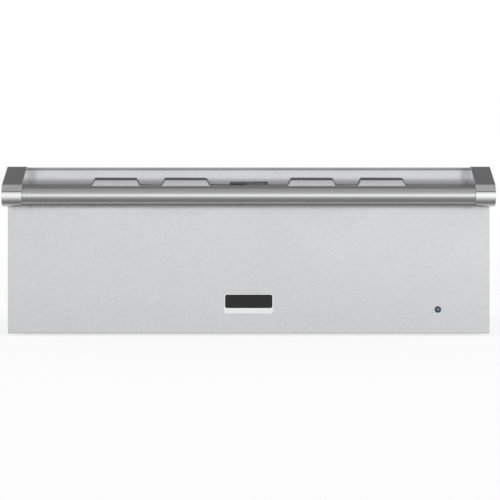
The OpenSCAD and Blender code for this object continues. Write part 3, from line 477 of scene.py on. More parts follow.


# Each finish's edge value lightens its edges, partly as wear and partly as a painted highlight.
FINISHES: tuple[Finish, ...] = (
    BrushedMetal("front_steel", "brushed_front", (0.575, 0.577, 0.585), 0.16,
                 contrast=0.03, mottle=0.05, metallic=0.85, bump=0.012, edge=0.12),
    # The vent shutter is the front's steel, but its colour is painted dark to stand in for the shade inside
    # the vent.
    BrushedMetal("slider_painted_shade", "brushed_front", (0.12, 0.12, 0.125), 0.3, edge=0.2),
    BrushedMetal("bar_steel", "handle_steel", (0.8, 0.805, 0.815), 0.18, edge=0.1, contrast=0.06),
    BrushedMetal("bracket_metal", "bracket_steel", (0.91, 0.915, 0.925), 0.14, Grain.EVEN, 0.03,
                 edge=0.3, edge_mm=0.9),
    BrushedMetal("badge_chrome", "badge_chrome", (0.8, 0.81, 0.82), 0.16, Grain.EVEN, 0.02, edge=0.3),
    Moulded("badge_enamel", "badge_black", (0.016, 0.016, 0.018), 0.2, 500.0, 0.02, shine=0.3),
    Moulded("lamp_ring", "indicator_dark", (0.012, 0.03, 0.075), 0.3, 900.0, 0.05, 0.4),
    Lens("lamp_lens", "indicator_blue", (0.12, 0.18, 0.3), 0.18, glow=0.08),
    Lens("light_guide", "clear_guide", (0.75, 0.82, 0.88), 0.1),
    BrushedMetal("zinc_sheet", "galvanised", (0.56, 0.575, 0.59), 0.42, Grain.EVEN, 0.05, 0.12, edge=0.2),
    BrushedMetal("liner_sheet", "liner_steel", (0.62, 0.63, 0.64), 0.3, Grain.ALONG_Y, 0.06, edge=0.2),
    BrushedMetal("rail_zinc", "rail_steel", (0.58, 0.59, 0.61), 0.34, Grain.ALONG_Y, 0.05, edge=0.3),
    BrushedMetal("pan_sheet", "pan_steel", (0.68, 0.685, 0.69), 0.3, Grain.ALONG_X, 0.05, edge=0.2),
    BrushedMetal("rack_wire", "rack_chrome", (0.74, 0.75, 0.77), 0.16, Grain.EVEN, 0.02, edge=0.1),
    BrushedMetal("plated_screw", "screw_steel", (0.64, 0.65, 0.67), 0.26, Grain.EVEN, 0.03, edge=0.3),
    BrushedMetal("element_sheath", "element_sheath", (0.2, 0.185, 0.18), 0.5, Grain.EVEN, 0.2, 0.2,
                 edge=0.2),
    BrushedMetal("copper_tube", "copper_bulb", (0.72, 0.42, 0.22), 0.32, Grain.EVEN, 0.08, 0.1, edge=0.2),
    Moulded("silicone", "gasket_rubber", (0.05, 0.05, 0.052), 0.6, 1400.0, 0.15),
    Moulded("foot_rubber", "foot_rubber", (0.035, 0.035, 0.036), 0.7, 1100.0, 0.25),
    Moulded("knob_resin", "knob_plastic", (0.04, 0.04, 0.043), 0.42, 1200.0, 0.1),
    Moulded("dark_resin", "control_plastic", (0.06, 0.06, 0.065), 0.4, 1000.0, 0.1),
    Moulded("pale_resin", "block_ceramic", (0.8, 0.79, 0.74), 0.45, 1000.0, 0.1),
    Moulded("mark_white", "block_ceramic", (0.85, 0.85, 0.84), 0.5, 1000.0, 0.02),
    Fibrous("glass_wool", "wool", (0.85, 0.79, 0.6), 0.95),
)


class Wardrobe:
    """Holds every finish's material and dresses pieces with them."""

    def __init__(self, finishes: Iterable[Finish]) -> None:
        """Builds all materials.

        Args:
            finishes: The finishes to build.
        """
        effects = Effects()
        self.finishes = {finish.name: finish for finish in finishes}
        self.materials = {name: finish.build(effects) for name, finish in self.finishes.items()}

    def dress(self, piece: Piece, finish: str) -> None:
        """Gives a piece one finish."""
        piece.data.materials.clear()
        piece.data.materials.append(self.materials[finish])

    def dress_nodes(self, *nodes: str) -> None:
        """Gives CAD nodes the finish of their slot in the record."""
        slots = {part["node"]: part["material_slot"] for part in frame["record"]["subparts"]}
        for node in nodes:
            finish = next(f for f in self.finishes.values() if f.slot == slots[node])
            self.dress(frame["nodes"][node], finish.name)


# Mesh helpers


@dataclass(frozen=True)
class Box:
    """The room that a solid takes up, in metres."""

    low: Vector
    high: Vector

    @property
    def size(self) -> Vector:
        """The sizes along X, Y and Z."""
        return self.high - self.low

    @property
    def centre(self) -> Vector:
        """The middle of the box."""
        return (self.low + self.high) / 2

    @property
    def radius(self) -> float:
        """Half the size along X."""
        return self.size.x / 2

    @property
    def face(self) -> Vector:
        """The middle of the front."""
        return Vector((self.centre.x, self.low.y, self.centre.z))


def new_object(name: str, data: bpy.types.ID) -> Piece:
    """Makes an object of mesh, lamp or camera data and links it to the scene."""
    made = bpy.data.objects.new(name, data)
    bpy.context.scene.collection.objects.link(made)
    return made


def body_of(node: str) -> str:
    """The body that carries a CAD node."""
    return frame["nodes"][node]["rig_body"]


def turned_to(axis: Axis, at: Vector) -> Matrix:
    """A placement that turns +Z to an axis and moves the origin to a point."""
    return Matrix.Translation(at) @ axis.vector.to_track_quat("Z", "Y").to_matrix().to_4x4()


class Mesh:
    """A bmesh that becomes a finished piece of the object."""

    def __init__(self, node: str | None = None) -> None:
        """Starts an empty mesh, or a merged copy of a CAD node.

        Args:
            node: The CAD node's name, or none.
        """
        self.bm = bmesh.new()
        if node is not None:
            self.bm.from_mesh(frame["nodes"][node].data)
            bmesh.ops.remove_doubles(self.bm, verts=self.bm.verts, dist=MERGE)

    def ring(self, radius: float, height: float, segments: int, lobes: int = 0,
             depth: float = 0.0) -> list[Vert]:
        """Adds a ring around Z.

        Args:
            radius: The ring's radius in metres.
            height: The ring's height in metres.
            segments: The number of points.
            lobes: The number of lobes around the ring.
            depth: How deep the lobes are, as a share of the radius.

        Returns:
            The ring's vertices in order.
        """
        verts = bmesh.ops.create_circle(self.bm, radius=radius, segments=segments)["verts"]
        for vert in verts:
            swell = 1.0 + depth * math.cos(lobes * math.atan2(vert.co.y, vert.co.x))
            vert.co = (vert.co.x * swell, vert.co.y * swell, height)
        return verts

    def outline(self, width: float, length: float, height: float, radius: float, steps: int) -> list[Vert]:
        """Adds a rectangle with round corners around Z.

        Args:
            width: The size along X.
            length: The size along Y.
            height: The height in metres.
            radius: The corner radius.
            steps: The number of steps in each corner.

        Returns:
            The outline's vertices in order.
        """
        verts = []
        for turn, (sx, sy) in enumerate(((1, 1), (-1, 1), (-1, -1), (1, -1))):
            centre = Vector((sx * (width / 2 - radius), sy * (length / 2 - radius), height))
            for step in range(steps + 1):
                angle = math.radians(90.0 * (turn + step / steps))
                outwards = Vector((math.cos(angle), math.sin(angle), 0.0))
                verts.append(self.bm.verts.new(centre + radius * outwards))
        return verts

    def bridge(self, rings: Sequence[Sequence[Vert]], closed: bool) -> None:
        """Joins neighbouring rings of equally many points with faces.

        Args:
            rings: The rings in order.
            closed: Whether the last ring joins the first.
        """
        following = [*rings[1:], rings[0]] if closed else rings[1:]
        for first, second in zip(rings, following):
            for k in range(len(first)):
                self.bm.faces.new((first[k - 1], first[k], second[k], second[k - 1]))

    def lathe(self, profile: Iterable[Sequence[float]], segments: int = 48, lobes: int = 0,
              closed: bool = False) -> list[Vert]:
        """Turns a profile around Z.

        Args:
            profile: Each ring's radius and height, and its lobes' depth where it has lobes.
            segments: The number of points in a ring.
            lobes: The number of lobes around a ring.
            closed: Whether the last ring joins the first. Otherwise both get a flat end.

        Returns:
            The new vertices.
        """
        rings = [self.ring(radius, height, segments, lobes, *depth) for radius, height, *depth in profile]
        self.bridge(rings, closed)
        if not closed:
            self.bm.faces.new(rings[0])
            self.bm.faces.new(rings[-1])
        return [vert for ring in rings for vert in ring]

    def sweep(self, size: Sequence[float], corners: Sequence[float], steps: int,
              profile: Iterable[tuple[float, float]], closed: bool = False) -> None:
        """Carries a profile around a rectangle with round corners.

        Args:
            size: The rectangle's sizes along X and Y.
            corners: Its corner radius, and the least radius of a loop.
            steps: The number of steps in each corner.
            profile: How far each loop lies outside the rectangle, and its height.
            closed: Whether the last loop joins the first. Otherwise the last one gets a flat end.
        """
        loops = []
        for grow, height in profile:
            radius = max(corners[0] + grow, corners[1])
            loops.append(self.outline(size[0] + 2 * grow, size[1] + 2 * grow, height, radius, steps))
        self.bridge(loops, closed)
        if not closed:
            self.bm.faces.new(loops[-1])

    def cube(self, centre: Vector, size: Sequence[float]) -> None:
        """Adds a box by its middle and its sizes."""
        placed = Matrix.Translation(centre) @ Matrix.Diagonal((*size, 1.0))
        bmesh.ops.create_cube(self.bm, size=1.0, matrix=placed)

    def place(self, matrix: Matrix, verts: Iterable[Vert] | None = None) -> None:
        """Moves some vertices, or the whole mesh."""
        moved = self.bm.verts if verts is None else list(verts)
        bmesh.ops.transform(self.bm, matrix=matrix, verts=moved)

    def bevel(self, edges: Iterable[Edge], width: float, segments: int) -> None:
        """Rounds some edges.

        Args:
            edges: The edges.
            width: The rounding's width in metres.
            segments: The number of steps over the rounding.
        """
        bmesh.ops.bevel(self.bm, geom=list(edges), offset=width, offset_type="OFFSET", segments=segments,
                        profile=0.5, affect="EDGES", clamp_overlap=False, material=-1)

    def bent(self, degrees: float, test: EdgeTest = lambda edge: True) -> list[Edge]:
        """The edges that bend more than an angle and pass a test."""
        limit = math.radians(degrees)
        return [e for e in self.bm.edges if e.is_manifold and e.calc_face_angle(0.0) > limit and test(e)]

    def to_object(self, name: str) -> Piece:
        """Makes an object of the mesh."""
        data = bpy.data.meshes.new(name)
        self.bm.to_mesh(data)
        self.bm.free()
        return new_object(name, data)

    def finish(self, name: str, body: str, smooth: float = 35.0, outwards: bool = True) -> Piece:
        """Makes the piece and lets it ride on a body.

        Args:
            name: The piece's name.
            body: The body that carries it.
            smooth: Edges that bend more than this angle stay sharp.
            outwards: Whether the normals are worked out again.

        Returns:
            The new piece.
        """
        bmesh.ops.remove_doubles(self.bm, verts=self.bm.verts, dist=VERY_NEAR)
        if outwards:
            bmesh.ops.recalc_face_normals(self.bm, faces=self.bm.faces)
        piece = self.to_object(name)
        piece.data.shade_smooth()
        piece.data.set_sharp_from_angle(angle=math.radians(smooth))
        weighted = piece.modifiers.new("even_normals", "WEIGHTED_NORMAL")
        weighted.keep_sharp = True
        weighted.weight = FLATTEST
        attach(piece, body)
        LOG.info("%s: %d faces on %s", name, len(piece.data.polygons), body)
        return piece


def islands(node: str) -> list[Box]:
    """The box of each separate solid of a CAD node.

    Args:
        node: The CAD node's name.

    Returns:
        One box for each solid, sorted by its lowest corner.
    """
    mesh = Mesh(node)
    left = set(mesh.bm.verts)
    boxes = []
    while left:
        stack = [left.pop()]
        points = []
        while stack:
            vert = stack.pop()
            points.append(vert.co.copy())
            for other in [edge.other_vert(vert) for edge in vert.link_edges]:
                if other in left:
                    left.discard(other)
                    stack.append(other)
        columns = list(zip(*points))
        boxes.append(Box(*(Vector([pick(column) for column in columns]) for pick in (min, max))))
    mesh.bm.free()
    return sorted(boxes, key=lambda box: tuple(round(c, 5) for c in box.low))


@dataclass
class Assembly:
    """Base of the sub-assemblies: builds pieces and dresses them."""

    wardrobe: Wardrobe
    flat_deg: float = 0.6
    bend_deg: float = 28.0
    folded_bend_deg: float = 40.0
    folded_edge_mm: float = 1.5
    edge_steps: int = 2
    fold_steps: int = 3

    def softened(self, node: str, finish: str, width_mm: float, folds: Sequence[tuple[EdgeTest, float]] = (),
                 crisp: EdgeTest = lambda edge: False,
                 prepare: Callable[[Mesh], None] = lambda mesh: None) -> None:
        """Replaces a CAD node by the same shape with rounded edges.

        Args:
            node: The CAD node's name.
            finish: The finish of the new piece.
            width_mm: The rounding's width on ordinary edges.
            folds: Tests that pick edges, each with its own rounding.
            crisp: A test that picks the edges left as they are.
            prepare: What is done to the merged copy before its edges are rounded.
        """
        mesh = Mesh(node)
        bmesh.ops.dissolve_limit(mesh.bm, angle_limit=math.radians(self.flat_deg), verts=mesh.bm.verts,
                                 edges=mesh.bm.edges, delimit={"NORMAL"})
        prepare(mesh)
        layer = mesh.bm.edges.layers.int.new("fold")
        picked = [[e for e in mesh.bm.edges if test(e)] for test, _ in folds]
        special = {e for group in picked for e in group}
        bend = self.folded_bend_deg if folds else self.bend_deg
        shortest = self.folded_edge_mm * MM if folds else 0.0
        plain = mesh.bent(bend, lambda e: e not in special and not crisp(e) and e.calc_length() > shortest)
        for number, group in enumerate([plain, *picked], 1):
            for edge in group:
                edge[layer] = number
        for number, width in reversed(list(enumerate([width_mm, *(w for _, w in folds)], 1))):
            edges = [e for e in mesh.bm.edges if e[layer] == number]
            mesh.bevel(edges, width * MM, self.fold_steps if number > 1 else self.edge_steps)
        self.swap(mesh, node + "_shaped", node, finish, outwards=False)

    def swap(self, mesh: Mesh, name: str, node: str, finish: str, smooth: float = 35.0,
             outwards: bool = True) -> None:
        """Finishes a mesh as the piece that stands for a CAD node.

        Args:
            mesh: The mesh to finish.
            name: The piece's name.
            node: The CAD node that it replaces.
            finish: The finish's name.
            smooth: Edges that bend more than this angle stay sharp.
            outwards: Whether the normals are worked out again.
        """
        piece = mesh.finish(name, body_of(node), smooth, outwards)
        self.wardrobe.dress(piece, finish)
        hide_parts(node)


    def turned(self, name: str, node: str, finish: str, profile: Iterable[Sequence[float]], placed: Matrix,
               smooth: float = 35.0, **lathe: object) -> None:
        """Makes a turned piece that stands for a CAD node.

        Args:
            name: The piece's name.
            node: The CAD node that it replaces.
            finish: The finish's name.
            profile: Each ring's radius and height, and its lobes' depth where it has lobes.
            placed: The placement of the profile's axis.
            smooth: Edges that bend more than this angle stay sharp.
            lathe: What else the lathe is told.
        """
        mesh = Mesh()
        mesh.lathe(profile, **lathe)
        mesh.place(placed)
        self.swap(mesh, name, node, finish, smooth)


# The drawer's front


@dataclass
class FrontPanel(Assembly):
    """The brushed front with its recess, louvres and vent slider."""

    fold_mm: float = 0.9
    edge_mm: float = 0.35
    louvre_mm: float = 3.0
    louvre_y_mm: float = 35.1
    wall_y_mm: float = 43.1
    louvre_z_mm: float = 30.0
    louvre_bend_deg: float = 15.0
    louvre_least_mm: float = 4.0
    louvre_end_mm: tuple[float, float] = (0.1, 1.0)
    crown_mm: float = 5.0
    window_half_mm: float = 30.0
    window_margin_mm: float = 1.0
    cove_y_mm: float = 30.0
    cove_z_mm: float = 16.0

    def build(self) -> None:
        """Builds the front skin and what hangs on it."""
        low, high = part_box("front_skin")
        limits = ((0, low.x), (0, high.x), (1, low.y), (2, low.z), (2, high.z))
        louvre_y = low.y + self.louvre_y_mm * MM
        louvre_z = high.z - self.louvre_z_mm * MM
        beside = (self.window_half_mm + self.window_margin_mm) * MM

        def outer_fold(edge: Edge) -> bool:
            """Whether an edge is an outer fold of the front."""
            return sum(all(abs(v.co[k] - limit) < NEAR for v in edge.verts) for k, limit in limits) >= 2

        def louvre_edge(edge: Edge) -> bool:
            """Whether an edge is an outward fold of a louvre."""
            if not edge.is_manifold or edge.calc_face_angle_signed(0.0) < math.radians(self.louvre_bend_deg):
                return False
            xs, ys, zs = zip(*(v.co for v in edge.verts))
            in_depth = min(ys) > louvre_y and max(ys) < low.y + self.wall_y_mm * MM
            below, above = self.louvre_end_mm
            in_height = min(zs) > louvre_z - below * MM and max(zs) > louvre_z + above * MM
            by_window = abs(abs(xs[0]) - self.window_half_mm * MM) <= self.window_margin_mm * MM
            return (in_depth and in_height and max(zs) < high.z - self.crown_mm * MM and not by_window
                    and edge.calc_length() > self.louvre_least_mm * MM)

        def window_edge(edge: Edge) -> bool:
            """Whether an edge bounds the vent window."""
            return all(abs(v.co.x) < beside and v.co.y > louvre_y for v in edge.verts)

        def split_by_window(mesh: Mesh) -> None:
            """Splits the recess's faces beside the vent window, so that the cove's shading stays even."""
            near_y = low.y + self.cove_y_mm * MM
            top_z = high.z - self.cove_z_mm * MM
            for side in (-1.0, 1.0):
                faces = [f for f in mesh.bm.faces
                         if all(v.co.y > near_y and v.co.z < top_z for v in f.verts)]
                bounds = {part for face in faces for part in (*face.edges, *face.verts)}
                bmesh.ops.bisect_plane(mesh.bm, geom=[*faces, *bounds], dist=VERY_NEAR,
                                       plane_no=Axis.RIGHT.vector, plane_co=(side * beside, 0.0, 0.0))

        folds = ((outer_fold, self.fold_mm), (louvre_edge, self.louvre_mm))
        self.softened("front_skin", "front_steel", self.edge_mm, folds, window_edge, split_by_window)
        # The shutter's dark finish is painted shade.
        self.softened("vent_shutter", "slider_painted_shade", 0.2)
        self.softened("front_inner_panel", "zinc_sheet", 0.3)
        self.softened("shutter_guides", "zinc_sheet", 0.2)
        self.wardrobe.dress_nodes("front_insulation", "bracket_plates", "light_pipe")


@dataclass
class Handle(Assembly):
    """The tubular bar between its two brackets."""

    bar_wall_mm: float = 1.5
    bar_segments: int = 128
    end_chamfer_mm: float = 0.4
    barrel_mm: float = 16.95
    top_mm: float = 5.0
    nose_low_mm: float = 5.6
    nose_lean_mm: float = 4.2
    nose_step_mm: float = 0.6
    nose_square: float = 2.6
    edge_mm: float = 1.0
    edge_deg: float = 20.0
    arc_steps: int = 28
    spigot_in_mm: float = 3.6
    spigot_mm: float = 12.0
    spigot_chamfer_mm: float = 1.0
    spigot_root_mm: float = 0.5
    axis: Vector = field(default_factory=Vector)

    def build(self) -> None:
        """Builds the bar and both brackets."""
        bar = Box(*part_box("handle_bar"))
        self.axis = bar.centre
        self._bar(bar)
        for node in ("handle_bracket_left", "handle_bracket_right"):
            self._bracket(node, bar)

    def _bar(self, bar: Box) -> None:
        """Builds the tube.

        Args:
            bar: The tube's box.
        """
        chamfer = self.end_chamfer_mm * MM
        radius = bar.size.z / 2
        bore = radius - self.bar_wall_mm * MM
        half = bar.size.x / 2
        profile = ((bore, -half), (radius - chamfer, -half), (radius, -half + chamfer),
                   (radius, half - chamfer), (radius - chamfer, half), (bore, half))
        self.turned("handle_tube", "handle_bar", "bar_steel", profile, turned_to(Axis.RIGHT, self.axis),
                    segments=self.bar_segments, closed=True)

    def _nose(self, turn: float) -> tuple[float, float]:
        """A point of a bracket's round front in Y and Z.

        Args:
            turn: The angle in radians, from 0 at its middle to a quarter turn at its underside.

        Returns:
            The point.
        """
        radius = self.barrel_mm * MM
        power = 2.0 / self.nose_square
        drop = math.copysign(abs(math.sin(turn)) ** power, turn)
        return self.axis.y - radius * max(0.0, math.cos(turn)) ** power, self.axis.z - radius * drop

    def _bracket(self, node: str, bar: Box) -> None:
        """Builds one bracket as a profile drawn across its width, with a spigot in the bar.

        Args:
            node: The bracket's CAD node.
            bar: The bar's box.
        """
        low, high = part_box(node)
        right = low.x > 0
        inner, outer = (bar.high.x, high.x) if right else (bar.low.x, low.x)
        radius = self.barrel_mm * MM
        start = -math.asin((self.nose_low_mm / self.barrel_mm) ** (self.nose_square / 2.0))
        face_y = self._nose(start)[0] + self.nose_step_mm * MM
        profile = [(high.y, high.z), (high.y - self.top_mm * MM, high.z),
                   (face_y + self.nose_lean_mm * MM, self.axis.z + radius - self.nose_step_mm * MM),
                   (face_y, self.axis.z + self.nose_low_mm * MM)]
        for step in range(self.arc_steps + 1):
            profile.append(self._nose(start + (math.pi / 2 - start) * step / self.arc_steps))
        profile.append((high.y, self.axis.z - radius))
        mesh = Mesh()
        side = mesh.bm.faces.new([mesh.bm.verts.new((inner, y, z)) for y, z in profile])
        drawn = bmesh.ops.extrude_face_region(mesh.bm, geom=[side])
        moved = [g for g in drawn["geom"] if isinstance(g, Vert)]
        bmesh.ops.translate(mesh.bm, verts=moved, vec=(outer - inner, 0.0, 0.0))
        bmesh.ops.recalc_face_normals(mesh.bm, faces=mesh.bm.faces)

        def rounded(edge: Edge) -> bool:
            """Whether an edge is round: all but those on the back, and those down a side that reach it."""
            ahead = [v.co.y < high.y - NEAR for v in edge.verts]
            down_side = abs(edge.verts[0].co.x - edge.verts[1].co.x) < VERY_NEAR
            return all(ahead) or down_side and any(ahead)

        mesh.bevel(mesh.bent(self.edge_deg, rounded), self.edge_mm * MM, self.fold_steps)
        spigot = radius - self.spigot_in_mm * MM
        chamfer = self.spigot_chamfer_mm * MM
        reach = self.spigot_mm * MM
        root = -self.spigot_root_mm * MM
        verts = mesh.lathe(((spigot - chamfer, reach), (spigot, reach - chamfer), (spigot, root)))
        at = Vector((inner, self.axis.y, self.axis.z))
        mesh.place(turned_to(Axis.LEFT if right else Axis.RIGHT, at), verts)
        self.swap(mesh, node + "_cast", node, "bracket_metal", smooth=30.0)


@dataclass
class BadgeAndLamp(Assembly):
    """The bare badge and the blue indicator lamp."""

    lens_gap_mm: float = 0.05
    bezel_face_mm: float = 1.5
    bezel_wall_mm: float = 1.3
    bezel_bevel_mm: tuple[float, float] = (0.4, 0.5)
    bezel_round_mm: Pairs = ((0.9, 0.0), (0.25, 0.3), (0.0, 0.9))
    dome_mm: float = 0.5
    dome_steps: int = 6

    def build(self) -> None:
        """Builds the badge, its inlay, the lamp's ring and its lens."""
        self.softened("badge_plate", "badge_chrome", 0.3)
        self.softened("badge_inlay", "badge_enamel", 0.15)
        self._ring()
        self._lens()

    def _ring(self) -> None:
        """Builds the ring with a rounded front and its collar through the panel."""
        ring = Box(*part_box("indicator_ring"))
        bore = Box(*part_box("indicator_lens")).radius + self.lens_gap_mm * MM
        outer = ring.radius
        collar = outer - self.bezel_wall_mm * MM
        face = self.bezel_face_mm * MM
        depth = ring.size.y
        across, inwards = self.bezel_bevel_mm
        profile = [(bore, -depth), (bore, -inwards * MM), (bore + across * MM, 0.0)]
        profile += [(outer - inset * MM, -back * MM) for inset, back in self.bezel_round_mm]
        profile += [(outer, -face), (collar, -face), (collar, -depth)]
        placed = turned_to(Axis.FRONT, ring.face)
        self.turned("lamp_bezel", "indicator_ring", "lamp_ring", profile, placed, closed=True)

    def _lens(self) -> None:
        """Builds the lens with a shallow dome."""
        lens = Box(*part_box("indicator_lens"))
        profile = [(lens.radius, -lens.size.y)]
        for step in range(self.dome_steps):
            angle = math.pi / 2 * step / self.dome_steps
            profile.append((lens.radius * math.cos(angle), -self.dome_mm * MM * (1 - math.sin(angle))))
        self.turned("lamp_dome", "indicator_lens", "lamp_lens", profile, turned_to(Axis.FRONT, lens.face))


# The drawer behind its front


@dataclass
class PanAndRails(Assembly):
    """The food pan, the rack and the rails that carry them."""

    sheet_mm: float = 1.0
    corner_mm: float = 25.0
    corner_least_mm: float = 6.0
    corner_steps: int = 10
    rim_mm: float = 9.0
    rim_return_mm: float = 0.2
    floor_fillet_mm: float = 12.0
    rim_fillet_mm: float = 2.5
    fillet_steps: int = 6

    def build(self) -> None:
        """Builds the pan and dresses the rest."""
        self._pan()
        for side in ("left", "right", "front", "back"):
            self.softened("drawer_rail_" + side, "rail_zinc", 0.3)
        self.wardrobe.dress_nodes("wire_rack")

    def _pan(self) -> None:
        """Builds the drawn pan from loops around its middle, with a turned-down rim."""
        pan = Box(*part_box("food_pan"))
        rim, sheet = self.rim_mm * MM, self.sheet_mm * MM
        fillet, bend = self.floor_fillet_mm * MM, self.rim_fillet_mm * MM
        top = pan.high.z - sheet
        angles = [math.pi / 2 * step / self.fillet_steps for step in range(self.fillet_steps + 1)]
        profile = [(rim, top - self.rim_return_mm * MM), (rim, top), (bend, top)]
        profile += [(bend - bend * math.sin(angle), top - bend * (1 - math.cos(angle)))
                    for angle in angles[1:]]
        profile += [(-fillet * (1 - math.cos(angle)), pan.low.z + fillet - fillet * math.sin(angle))
                    for angle in angles]
        mesh = Mesh()
        inside = (pan.size.x - 2 * rim, pan.size.y - 2 * rim)
        mesh.sweep(inside, (self.corner_mm * MM, self.corner_least_mm * MM), self.corner_steps, profile)
        mesh.place(Matrix.Translation((pan.centre.x, pan.centre.y, 0.0)))
        bmesh.ops.recalc_face_normals(mesh.bm, faces=mesh.bm.faces)
        bmesh.ops.solidify(mesh.bm, geom=mesh.bm.faces[:], thickness=sheet)
        self.swap(mesh, "food_pan_drawn", "food_pan", "pan_sheet", smooth=30.0)


@dataclass
class Slides(Assembly):
    """The three-member slides and their rows of balls."""

    ball_pitch_mm: float = 16.0
    cage_mm: float = 0.5

    def build(self) -> None:
        """Builds both slides."""
        for side in ("left", "right"):
            for member in ("slide_inner_", "slide_middle_", "slide_outer_"):
                self.softened(member + side, "rail_zinc", 0.25)
            self._balls("slide_balls_" + side)

    def _balls(self, node: str) -> None:
        """Builds the rows of balls in their cages.

        Args:
            node: The CAD node that stands for the rows.
        """
        mesh = Mesh()
        pitch = self.ball_pitch_mm * MM
        for row in islands(node):
            centre = row.centre
            mesh.cube(centre, (row.size.x, row.size.y, self.cage_mm * MM))
            count = int(row.size.y / pitch)
            for i in range(count):
                at = Vector((centre.x, centre.y + (i - (count - 1) / 2) * pitch, centre.z))
                bmesh.ops.create_icosphere(mesh.bm, subdivisions=2, radius=row.size.z / 2,
                                           matrix=Matrix.Translation(at))
        self.swap(mesh, node + "_in_cage", node, "plated_screw")


@dataclass
class Gasket(Assembly):
    """The hollow silicone seal around the drawer's back."""

    corner_mm: float = 9.0
    corner_least_mm: float = 1.5
    corner_steps: int = 8
    width_mm: float = 7.0
    profile_steps: int = 12

    def build(self) -> None:
        """Builds the seal as a bulb swept around the opening."""
        seal = Box(*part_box("door_gasket"))
        width, depth, height = seal.size
        turns = [2 * math.pi * step / self.profile_steps for step in range(self.profile_steps)]
        half = self.width_mm * MM / 2
        profile = [(half * (math.cos(turn) - 1), depth / 2 * math.sin(turn)) for turn in turns]
        corners = (self.corner_mm * MM, self.corner_least_mm * MM)
        mesh = Mesh()
        mesh.sweep((width, height), corners, self.corner_steps, profile, closed=True)
        mesh.place(Matrix.Translation(seal.centre) @ Matrix.Rotation(math.radians(90.0), 4, "X"))
        self.swap(mesh, "door_seal", "door_gasket", "silicone", smooth=60.0)


# The case


@dataclass
class Case(Assembly):
    """The sheet-metal case, its feet and the heated cavity."""

    sheet_edge_mm: float = 0.35
    bumper_edge_mm: float = 0.5
    foot_mm: float = 12.0
    foot_taper_mm: float = 1.2
    foot_toe_mm: float = 1.2
    foot_round_mm: float = 0.6
    foot_band_mm: float = 2.0
    stud_mm: float = 2.1
    seat_mm: float = 6.4
    seat_depth_mm: float = 4.0

    def build(self) -> None:
        """Builds the case's panels, its feet and what is inside."""
        for node in ("base_pan", "side_panel_left", "side_panel_right", "top_panel", "back_panel"):
            self.softened(node, "zinc_sheet", self.sheet_edge_mm)
        self.softened("front_frame", "front_steel", self.sheet_edge_mm)
        self.softened("cavity_liner", "liner_sheet", self.sheet_edge_mm)
        self.softened("frame_bumpers", "silicone", self.bumper_edge_mm)
        self._feet()
        self.wardrobe.dress_nodes(*(node for node in frame["nodes"] if node.startswith("insulation")))

    def _feet(self) -> None:
        """Builds the tapered rubber feet, each with a sunk screw seat and a stud."""
        mesh = Mesh()
        stud, base, band = self.stud_mm * MM, self.foot_mm * MM, self.foot_band_mm * MM
        rounding, toe, seat = self.foot_round_mm * MM, self.foot_toe_mm * MM, self.seat_mm * MM
        for foot in islands("rubber_feet"):
            radius = foot.radius
            narrow = radius - self.foot_taper_mm * MM
            profile = ((stud, foot.high.z), (stud, base), (radius - rounding, base),
                       (radius, base - rounding), (radius, base - band),
                       (radius - rounding, base - band - rounding), (narrow, toe), (narrow - toe, 0.0),
                       (seat + rounding, 0.0), (seat, rounding), (seat, self.seat_depth_mm * MM))
            mesh.place(Matrix.Translation((foot.centre.x, foot.centre.y, 0.0)), mesh.lathe(profile))
        self.swap(mesh, "feet_moulded", "rubber_feet", "foot_rubber", smooth=40.0)


@dataclass
class Screws(Assembly):
    """All screws, as pan heads with a six-lobed socket.

    The head's profile gives each ring's radius and height as shares of the head's, and its lobes' depth.
    """

    segments: int = 36
    lobes: int = 6
    head_profile: Triples = ((0.378, -0.75, 0.16), (0.42, 0.0, 0.16), (0.62, 0.0, 0.0), (0.86, -0.16, 0.0),
                             (1.0, -0.5, 0.0), (1.0, -1.0, 0.0), (0.5, -1.0, 0.0))
    head_height: float = 0.55
    head_most: float = 0.5
    tip_mm: float = 0.3
    tip_share: float = 0.8

    def build(self) -> None:
        """Builds each group of screws in the place of its CAD node."""
        self._group("case_screws", None)
        self._group("rail_screws", Axis.BACK)
        self._group("slide_screws", None, inwards=True)
        self._group("bracket_screws", Axis.BACK)

    def _group(self, node: str, head: Axis | None, inwards: bool = False) -> None:
        """Builds one group.

        Args:
            node: The CAD node of the group.
            head: The side that the heads are on, or none for the outer side.
            inwards: Whether the heads face the middle of the object.
        """
        mesh = Mesh()
        pairs = ((Axis.RIGHT, Axis.LEFT), (Axis.BACK, Axis.FRONT), (Axis.UP, Axis.DOWN))
        for screw in islands(node):
            size = screw.size
            spans = [abs(size[(k + 1) % 3] - size[(k + 2) % 3]) for k in range(3)]
            along = spans.index(min(spans))
            outer = screw.centre[along] > 0
            axis = head or pairs[along][0 if outer != inwards else 1]
            top = screw.centre + axis.vector * size[along] / 2
            self._screw(mesh, max(size[(along + 1) % 3], size[(along + 2) % 3]) / 2, size[along], axis, top)
        self.swap(mesh, node + "_driven", node, "plated_screw", smooth=30.0)

    def _screw(self, mesh: Mesh, radius: float, length: float, axis: Axis, top: Vector) -> None:
        """Adds one screw.

        Args:
            mesh: The group's mesh.
            radius: The head's radius.
            length: The screw's whole length.
            axis: The direction that the head faces.
            top: The top of the head.
        """
        height = min(self.head_height * radius, self.head_most * length)
        head = [(share * radius, level * height, lobed) for share, level, lobed in self.head_profile]
        shank = head[-1][0]
        tip = ((shank, self.tip_mm * MM - length), (shank * self.tip_share, -length))
        mesh.place(turned_to(axis, top), mesh.lathe([*head, *tip], self.segments, self.lobes))


# Heating and control


